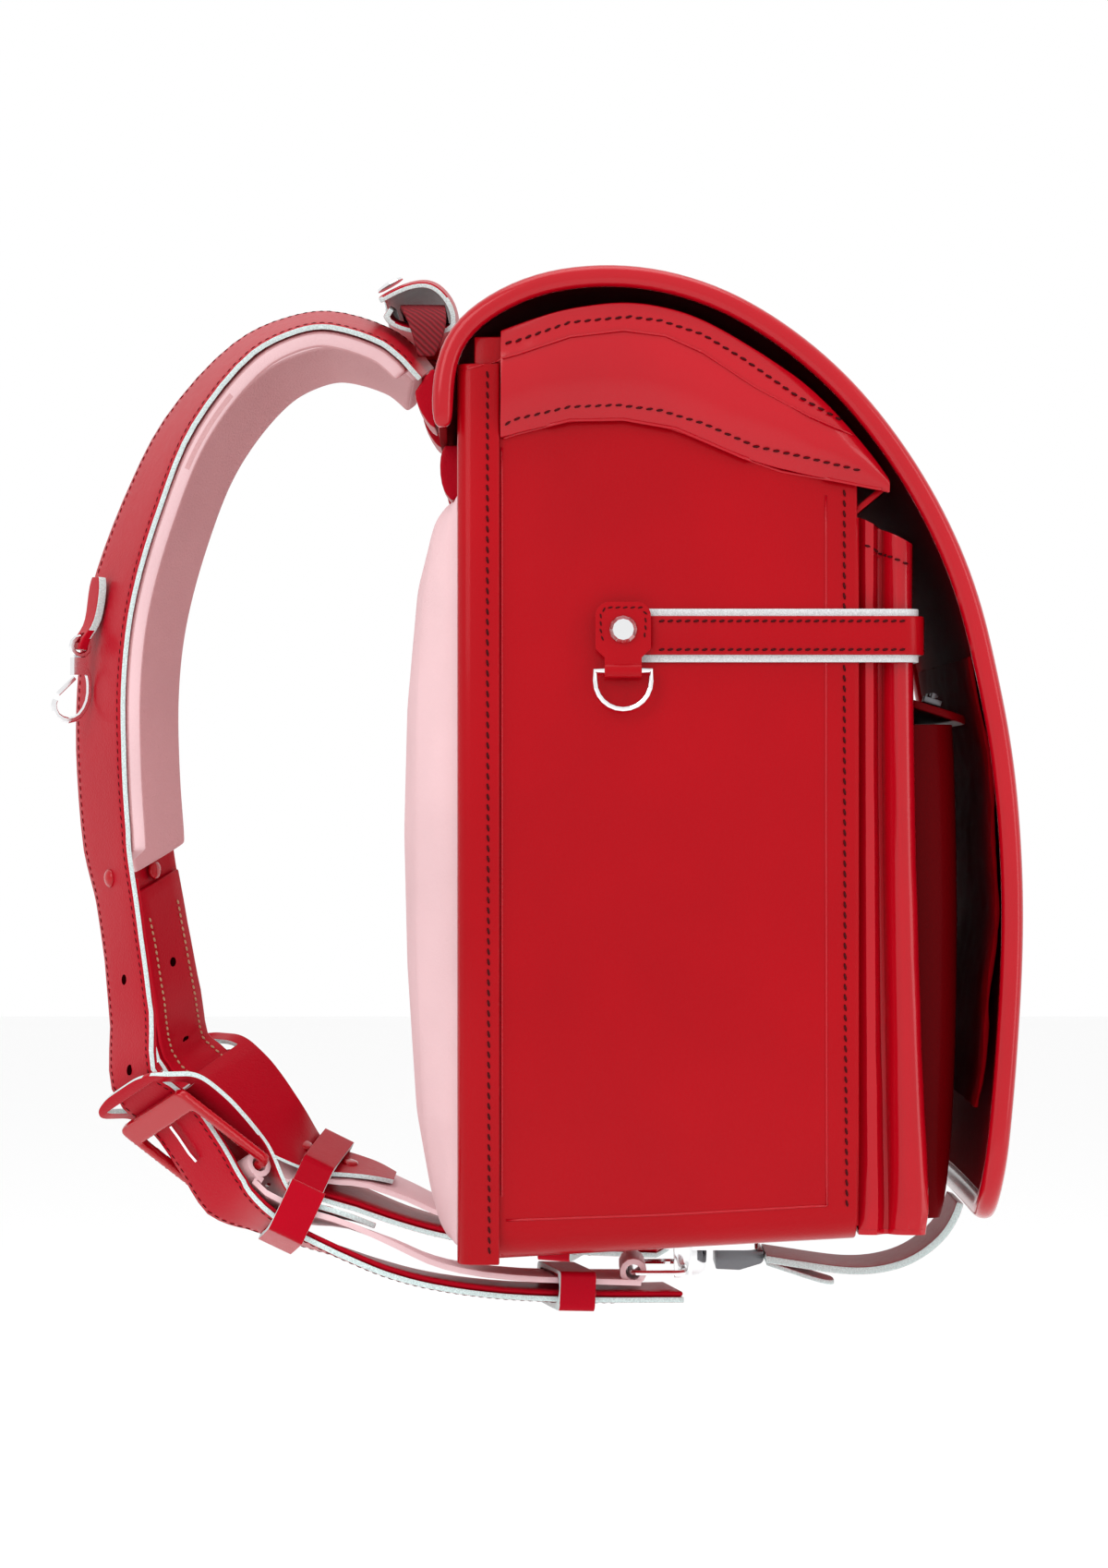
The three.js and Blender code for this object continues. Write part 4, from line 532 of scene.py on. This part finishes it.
def sideLine(tree, points, sign):
    origin = lambda p: Vector((p[0] * mm, sign * rayStart["side"], p[1] * mm))
    return layLine(tree, densify(points), origin, Vector((0, -sign, 0)))


def frontLine(tree, points):
    origin = lambda p: Vector((rayStart["front"], p[0] * mm, p[1] * mm))
    return layLine(tree, points, origin, Vector((-1, 0, 0)))


def tubeAlong(name, line, radius, material, lift=0.0):
    curve = bpy.data.curves.new(name, "CURVE")
    curve.dimensions = "3D"
    curve.bevel_depth = radius * mm
    curve.bevel_resolution = 2
    curve.use_fill_caps = True
    spline = curve.splines.new("POLY")
    spline.points.add(len(line) - 1)
    for target, (point, normal) in zip(spline.points, line):
        target.co = (*(point + normal * lift * mm), 1)
    holder = bpy.data.objects.new(name + "Curve", curve)
    bpy.context.collection.objects.link(holder)
    mesh = bpy.data.meshes.new_from_object(holder.evaluated_get(bpy.context.evaluated_depsgraph_get()))
    bpy.data.objects.remove(holder)
    bm = bmesh.new()
    bm.from_mesh(mesh)
    bmesh.ops.remove_doubles(bm, verts=bm.verts, dist=1e-7)
    bmesh.ops.recalc_face_normals(bm, faces=bm.faces)
    bpy.data.meshes.remove(mesh)
    return finishPiece(name, bm, [material])


# Lines on the body's side, in the photograph's pixels
bodyRows = {
    "upperStitch": [(502, 382), (560, 370), (617, 350), (681, 344), (715, 348), (761, 363), (804, 389),
                    (861, 429), (916, 458)],
    "seam": [(500, 401), (560, 385), (617, 366), (675, 359), (721, 365), (761, 383), (818, 421),
             (876, 452), (933, 475), (962, 498)],
    "lowerStitch": [(545, 461), (560, 454), (617, 441), (669, 439), (715, 445), (761, 459), (818, 484),
                    (876, 497), (930, 510)],
    "lowerEdge": [(545, 474), (560, 469), (617, 455), (675, 454), (732, 464), (804, 495), (847, 510),
                  (904, 520), (955, 530)],
    "bindingStitch": [(528, 400), (528, 700), (529, 1000), (530, 1362)],
    "bindingEdge": [(543.5, 484), (543.5, 800), (543.5, 1362)],
    "frontCrease": [(895, 536), (895, 900), (896, 1306)],
    "footCrease": [(548, 1322), (720, 1316), (896, 1306)],
    "frontStitch": [(915, 528), (915, 800), (916, 1100), (918, 1335)],
    "frontFold": [(921, 560), (921, 1330)],
}
bodyTubes = dict(seam=0.35, lowerEdge=0.6, bindingEdge=0.45, frontCrease=0.4, footCrease=0.4)
bodySizes = dict(pitch=3.6, fold=0.9, foldOut=2.4, creases=30, creaseDepth=1)


# Body: board sides, bindings, puffed top bands and the front wall
def buildBody():
    s = bodySizes
    rows = {key: [photoPoint(*p) for p in points] for key, points in bodyRows.items()}
    softCopy("main_gusset", "side_leather", "redLeather", edge=0.6, levels=0)
    softCopy("front_wall", "front_leather", "redLeather", edge=0.5, levels=0)
    softCopy("back_board", "back_leather", "pinkLeather", edge=0.5, levels=0)
    for side, sign in sides:
        binding, band = f"edge_binding_{side}", f"top_band_{side}"
        softCopy(binding, f"binding_{side}", "redLeather", edge=0.6, levels=0, sharp=50)
        # The top bands take the lighter red, which is a painted highlight
        puffed = softCopy(band, f"band_{side}", "litGlossLeather", edge=0.4, levels=2, sharp=40)
        wrinkle(puffed, s["creases"], s["creaseDepth"])
        upper = surfaceOf([band, binding])
        wall = surfaceOf([binding, "main_gusset", band])
        for key in ("upperStitch", "lowerStitch"):
            stitchRow(f"{key}_{side}", sideLine(upper, rows[key], sign), s["pitch"])
        for key, radius in bodyTubes.items():
            tubeAlong(f"{key}_{side}", sideLine(wall, rows[key], sign), radius, "litGlossLeather")
        edge = sideLine(surfaceOf(["main_gusset"]), rows["frontFold"], sign)
        fold = [(point + Vector((s["foldOut"], 0, 0)) * mm, normal) for point, normal in edge]
        tubeAlong(f"front_fold_{side}", fold, s["fold"], "redLeather", lift=-s["fold"])
        for key in ("bindingStitch", "frontStitch"):
            stitchRow(f"{key}_{side}", sideLine(wall, rows[key], sign), s["pitch"])


buildBody()
print("body ready")


# A short cloth run swells a piece; no point moves further than the cap
def swell(piece, cap, pressure, steps, voxel):
    remesh = piece.modifiers.new("remesh", "REMESH")
    remesh.mode = "VOXEL"
    remesh.voxel_size = voxel * mm
    bpy.context.view_layer.objects.active = piece
    with bpy.context.temp_override(object=piece, active_object=piece):
        bpy.ops.object.modifier_apply(modifier="remesh")
    mesh = piece.data
    start = [v.co.copy() for v in mesh.vertices]
    cloth = piece.modifiers.new("cloth", "CLOTH")
    cloth.settings.use_pressure = True
    cloth.settings.uniform_pressure_force = pressure
    cloth.settings.effector_weights.gravity = 0
    cloth.point_cache.frame_start = 1
    cloth.point_cache.frame_end = steps
    scene = bpy.context.scene
    for step in range(1, steps + 1):
        scene.frame_set(step)
    shaped = piece.evaluated_get(bpy.context.evaluated_depsgraph_get()).data
    ends = [v.co.copy() for v in shaped.vertices]
    piece.modifiers.remove(cloth)
    scene.frame_set(1)
    for vert, first, last in zip(mesh.vertices, start, ends):
        move = last - first
        if move.length > cap * mm:
            move *= cap * mm / move.length
        vert.co = first + move
    mesh.polygons.foreach_set("use_smooth", [True] * len(mesh.polygons))


padSwell = dict(cap=1.6, pressure=4, steps=14, voxel=3.5)


def buildBackPad():
    pad = softCopy("back_pad", "back_cushion", "pinkLeather", edge=2.5, levels=0,
                   sharp=40, segments=3)
    swell(pad, **padSwell)
    subdivide(pad, 1)


buildBackPad()


# The hem's stitches: (x, z) on the side, then at one height across the front
pocketSizes = dict(hem=[(162.5, 100.5), (170, 97), (178, 93.5)], hemHeight=93, hemHalf=104, step=8,
                   pitch=3.2, creases=26, creaseDepth=1.1)


# Front pocket with its hem, the zip pocket and its lid
def buildPockets():
    s = pocketSizes
    pleated = softCopy("front_pocket", "pleated_pocket", "litGlossLeather", levels=2, sharp=48)
    # The zip pocket and its lid wear the darker red, which is painted shade
    softCopy("zip_pocket", "zip_pocket_body", "shadedRedLeather", edge=0.6, sharp=45)
    softCopy("zip_pocket_lid", "zip_lid", "shadedRedLeather", edge=0.9, sharp=45)
    softCopy("zip_pull", "zip_puller", "darkMetal", edge=0.25, levels=0)
    wrinkle(pleated, s["creases"], s["creaseDepth"])
    pocket = surfaceOf(["front_pocket"])
    for side, sign in sides:
        stitchRow(f"hem_stitch_{side}", sideLine(pocket, s["hem"], sign), s["pitch"])
    half = s["hemHalf"]
    front = [(y, s["hemHeight"]) for y in range(-half, half + 1, s["step"])]
    stitchRow("hem_stitch_front", frontLine(pocket, densify(front, 2)), s["pitch"])


buildPockets()


beltSizes = dict(levels=(63.4, 73.4), run=(90, 130, 176), half=112, step=8, pitch=3)
# The tab's seam on the side as (x, z)
tabSizes = dict(pitch=2.6, radius=0.34, outline=[(71, 66), (70.2, 70), (70.2, 76), (72, 78), (84, 78),
                                                 (85.8, 76), (85.8, 70), (85, 66)])


# Side belt: a silver strip with a red strap sewn on it, and the tabs with their rings
def buildSideBelt():
    s = beltSizes
    softCopy("side_belt_backing", "belt_backing", "silver", edge=0.3, levels=0)
    softCopy("side_belt_leather", "belt_leather", "redLeather", edge=0.45, levels=0)
    belt = surfaceOf(["side_belt_leather"])
    for side, sign in sides:
        for k, z in enumerate(s["levels"]):
            points = [(x, z) for x in s["run"]]
            stitchRow(f"belt_stitch_{side}_{k}", sideLine(belt, points, sign), s["pitch"])
        softCopy(f"dring_tab_{side}", f"ring_tab_{side}", "redLeather", sharp=40)
        for node in (f"dring_rivet_{side}", f"dring_{side}"):
            dressNode(node, "chrome")
        seam = sideLine(surfaceOf([f"dring_tab_{side}"]), tabSizes["outline"], sign)
        stitchRow(f"tab_stitch_{side}", seam, tabSizes["pitch"], radius=tabSizes["radius"])
    half = s["half"]
    for k, z in enumerate(s["levels"]):
        line = frontLine(belt, [(y, z) for y in range(-half, half + 1, s["step"])])
        stitchRow(f"belt_stitch_front_{k}", line, s["pitch"])


buildSideBelt()
print("pockets and belt ready")


# Middles are (x, y, z); a face that looks at the first by this share is the flap's inner side
flapSizes = dict(inside=(100, 0, 20), facing=0.2, sweep=(60, 0, 0), pitch=3.8, creases=11,
                 creaseDepth=1.6)
# Seam round the flap, swept about the second middle: angle in degrees, half the width there
flapSeam = [(98, 111), (60, 111), (20, 111), (-10, 111), (-28, 111), (-32, 107), (-35, 100), (-36.5, 90)]


# The flap's inner faces get the darker red, which is painted shade under the flap
def shadeFlapInside(piece):
    piece.data.materials.append(mats["shadedFlapInside"])
    middle = Vector(flapSizes["inside"]) * mm
    for face in piece.data.polygons:
        toward = middle - face.center
        toward.y = 0
        if face.normal.dot(toward.normalized()) > flapSizes["facing"]:
            face.material_index = 1


def sewFlap():
    tree = surfaceOf(["flap_panel"])
    middle = Vector(flapSizes["sweep"]) * mm
    rows = flapSeam + [(angle, -half) for angle, half in reversed(flapSeam)]
    line = []
    for angle, y in densify(rows, 14):
        out = Vector((math.cos(math.radians(angle)), 0, math.sin(math.radians(angle))))
        start = middle + Vector((0, y * mm, 0)) + out * rayStart["flap"]
        hit, normal, _, _ = tree.ray_cast(start, -out)
        if hit is not None:
            line.append((hit, normal if normal.dot(out) > 0 else -normal))
    stitchRow("flap_seam", line, flapSizes["pitch"])


# Flap: outer leather, rounded rim, the pouch on its inside and the closing belt
def buildFlap():
    panel = softCopy("flap_panel", "flap_leather", "litGlossLeather", edge=0.4, sharp=50)
    shadeFlapInside(panel)
    softCopy("flap_rim", "flap_edge", "litGlossLeather", edge=0, levels=2, sharp=70)
    # The pouch is in the same darker red, which is painted shade
    pouch = softCopy("flap_pouch", "flap_lining", "shadedFlapInside", edge=0.4, levels=3,
                     sharp=60)
    wrinkle(pouch, flapSizes["creases"], flapSizes["creaseDepth"])
    softCopy("closing_belt", "belt_to_lock", "strapLeather", levels=2, sharp=60,
             rim="cutEdge", wall=4)
    softCopy("pull_tab", "pale_puller", "cutEdge", edge=0.4, levels=2, sharp=60)
    softCopy("belt_clip", "lock_clip", "darkMetal", edge=0.8, levels=0)


buildFlap()
sewFlap()


def buildLock():
    softCopy("lock_base", "lock_body", "chrome", edge=1.2, levels=0, segments=3)
    softCopy("ring_bracket", "bracket", "chrome", edge=0.4, levels=0)
    softCopy("lock_knob", "lock_dome", "chrome", edge=0.6, levels=1, sharp=40)


buildLock()
print("flap and lock ready")


# Rivet and adjusting holes on the strap, each at its height over the table
# Each hole is a flat near-black disc on the face: painted shade in place of a hollow
strapMarks = [("dome", -16, "redGloss", "red_buckle"), ("hole", -54, "holeShade", "strap_leather"),
              ("hole", -84, "holeShade", "strap_leather")]


def strapHoles(side, places, inner):
    last = len(places) * 6 // 10
    for k, (kind, level, material, slot) in enumerate(strapMarks):
        place = min(places[last // 2:last], key=lambda p: abs(p["point"].z - level))
        face, back = profiles[kind], profiles["stud" if kind == "dome" else kind]
        turned(f"strap_{kind}_{side}_{k}", inFrame(place, 0, 0), place["normal"], face, material)
        turned(f"strap_back_{kind}_{side}_{k}", inFrame(place, 0, inner), -place["normal"], back,
               material)


# Two red studs hold the guard's tail, at shares of the lower belt's run, looked for from below
studSizes = dict(shares=(0.17, 0.33), below=-14)


def guardStuds(side, lower):
    tree = surfaceOf([f"buckle_guard_{side}"])
    for k, share in enumerate(studSizes["shares"]):
        place = lower[round(share * (len(lower) - 1))]
        hit, _, _, _ = tree.ray_cast(inFrame(place, 0, studSizes["below"]), place["normal"])
        if hit is not None:
            turned(f"guard_stud_{side}_{k}", hit, -place["normal"], profiles["stud"], "redGloss")


# The strap's leathers and their seams: offsets are shares of half the width
strapLooks = dict(crown=0.3, innerScale=0.92, innerEdge=0.8, seam=0.86, seamHigh=-0.25, seamPitch=3,
                  seamRadius=0.3, coreSeam=0.62, coreHigh=-0.05, corePitch=2.8)


def buildStrapLeathers(side, sign, route):
    s, look = strapSizes, strapLooks
    fine = routeFrames(route, sign, 4 * (len(route) - 1), s["width"])
    strapStrip(f"strap_face_{side}", fine, 0, s["thickness"], 1, 8, ["strapLeather", "cutEdge"],
               f"strap_leather_{side}", crown=look["crown"])
    top = -s["thickness"] - gap
    under = top - s["coreThickness"]
    core = fine[2 * s["padEnd"]:]
    strapStrip(f"strap_inner_{side}", core, top, s["coreThickness"], look["innerScale"], 4,
               ["strapLeather"], f"strap_core_{side}", edge=look["innerEdge"])
    # The pad's broad faces take the darker pink and its sides the paler pink; the darker pink is painted
    # shade
    pad = softCopy(f"strap_pad_{side}", f"strap_cushion_{side}", "shadedLiningLeather",
                   edge=1.8, levels=2, sharp=45, segments=3, rim="pinkLeather", wall=10)
    strapHoles(side, fine, under)
    for k, way in enumerate((-1, 1)):
        line = rowOnFrames(fine[2:-3], way * look["seam"], look["seamHigh"])
        stitchRow(f"strap_stitch_{side}_{k}", line, look["seamPitch"],
                  radius=look["seamRadius"])
    for k, way in enumerate((-1, 1)):
        line = rowOnFrames(core[2:26], way * look["coreSeam"], under + look["coreHigh"], -1)
        stitchRow(f"core_stitch_{side}_{k}", line, look["corePitch"], "beigeThread")


# Shoulder straps, lower belts, buckles and keepers
def buildStraps():
    route = strapRoute()
    for side, sign in sides:
        buildStrapLeathers(side, sign, route)
        lower = routeFrames(lowerRoute(), sign, 60, strapSizes["lowerWidth"])
        softCopy(f"lower_belt_{side}", f"belt_low_{side}", "pinkLeather", edge=0.3,
                 levels=0, sharp=40)
        softCopy(f"buckle_guard_{side}", f"guard_{side}", "strapLeather", edge=0.3,
                 levels=2, sharp=45, rim="cutEdge", wall=4)
        guardStuds(side, lower)
        moulded(f"buckle_frame_{side}", f"buckle_{side}", "redGloss", 0.6, 9)
        for node in (f"buckle_prong_{side}", f"strap_ring_{side}"):
            dressNode(node, "chrome")
        for part in ("upper", "lower"):
            softCopy(f"keeper_{part}_{side}", f"loop_{part}_{side}", "strapLeather",
                     levels=2, sharp=40, rim="cutEdge", wall=3)
        for part in ("root", "anchor"):
            softCopy(f"strap_{part}_{side}", f"{part}_{side}", "strapLeather", edge=1.4,
                     segments=3)


buildStraps()
print("straps ready")


# Handle, and the snap hook in its leather tab
def buildHandle():
    softCopy("handle_leather", "handle_face", "strapLeather", edge=0.4, levels=2,
             sharp=60, rim="cutEdge", wall=4)
    softCopy("handle_webbing", "handle_strap", "webbing", edge=0.4, sharp=60)
    for side, _ in sides:
        dressNode(f"handle_rivet_{side}", "chrome")
    softCopy("hook_tab", "hook_loop", "strapLeather", edge=0.4, sharp=45,
             rim="cutEdge", wall=4)
    dressNode("snap_hook", "chrome")
    dressNode("snap_gate", "chrome")


buildHandle()


# Lamps: place in metres, width and height, watts
lamps = {
    "keyBox": ((-0.9, -1.5, 0.9), (0.9, 1.2), 9),
    "fillBox": ((1.5, -0.9, 0.4), (0.5, 1.6), 5),
    "topBox": ((0.1, -0.2, 1.6), (1.4, 1.0), 9),
}
studioSizes = dict(floor=6, floorHeight=-0.42, aim=(0.05, 0, 0.02))


def buildFloor():
    bm = bmesh.new()
    bmesh.ops.create_grid(bm, x_segments=1, y_segments=1, size=studioSizes["floor"])
    bmesh.ops.translate(bm, verts=bm.verts, vec=(0, 0, studioSizes["floorHeight"]))
    mesh = bpy.data.meshes.new("floor")
    bm.to_mesh(mesh)
    bm.free()
    floor = bpy.data.objects.new("floor", mesh)
    bpy.context.collection.objects.link(floor)
    material, tree, shader = newMaterial("floor")
    shader.inputs["Base Color"].default_value = (0.95, 0.95, 0.95, 1)
    shader.inputs["Roughness"].default_value = 0.9
    mesh.materials.append(material)


# Pale floor under a white sky, with soft boxes left, right and above
def buildStudio():
    buildFloor()
    world = bpy.data.worlds.new("studio")
    bpy.context.scene.world = world
    world.use_nodes = True
    world.node_tree.nodes["Background"].inputs["Color"].default_value = (1, 1, 1, 1)
    world.node_tree.nodes["Background"].inputs["Strength"].default_value = 1.0
    bpy.context.scene.view_settings.view_transform = "Standard"
    aim = Vector(studioSizes["aim"])
    for name, (place, size, power) in lamps.items():
        lamp = bpy.data.lights.new(name, "AREA")
        lamp.shape = "RECTANGLE"
        lamp.size, lamp.size_y = size
        lamp.energy = power
        holder = bpy.data.objects.new(name, lamp)
        holder.location = place
        holder.rotation_euler = (aim - Vector(place)).to_track_quat("-Z", "Y").to_euler()
        bpy.context.collection.objects.link(holder)


buildStudio()
print("studio ready")
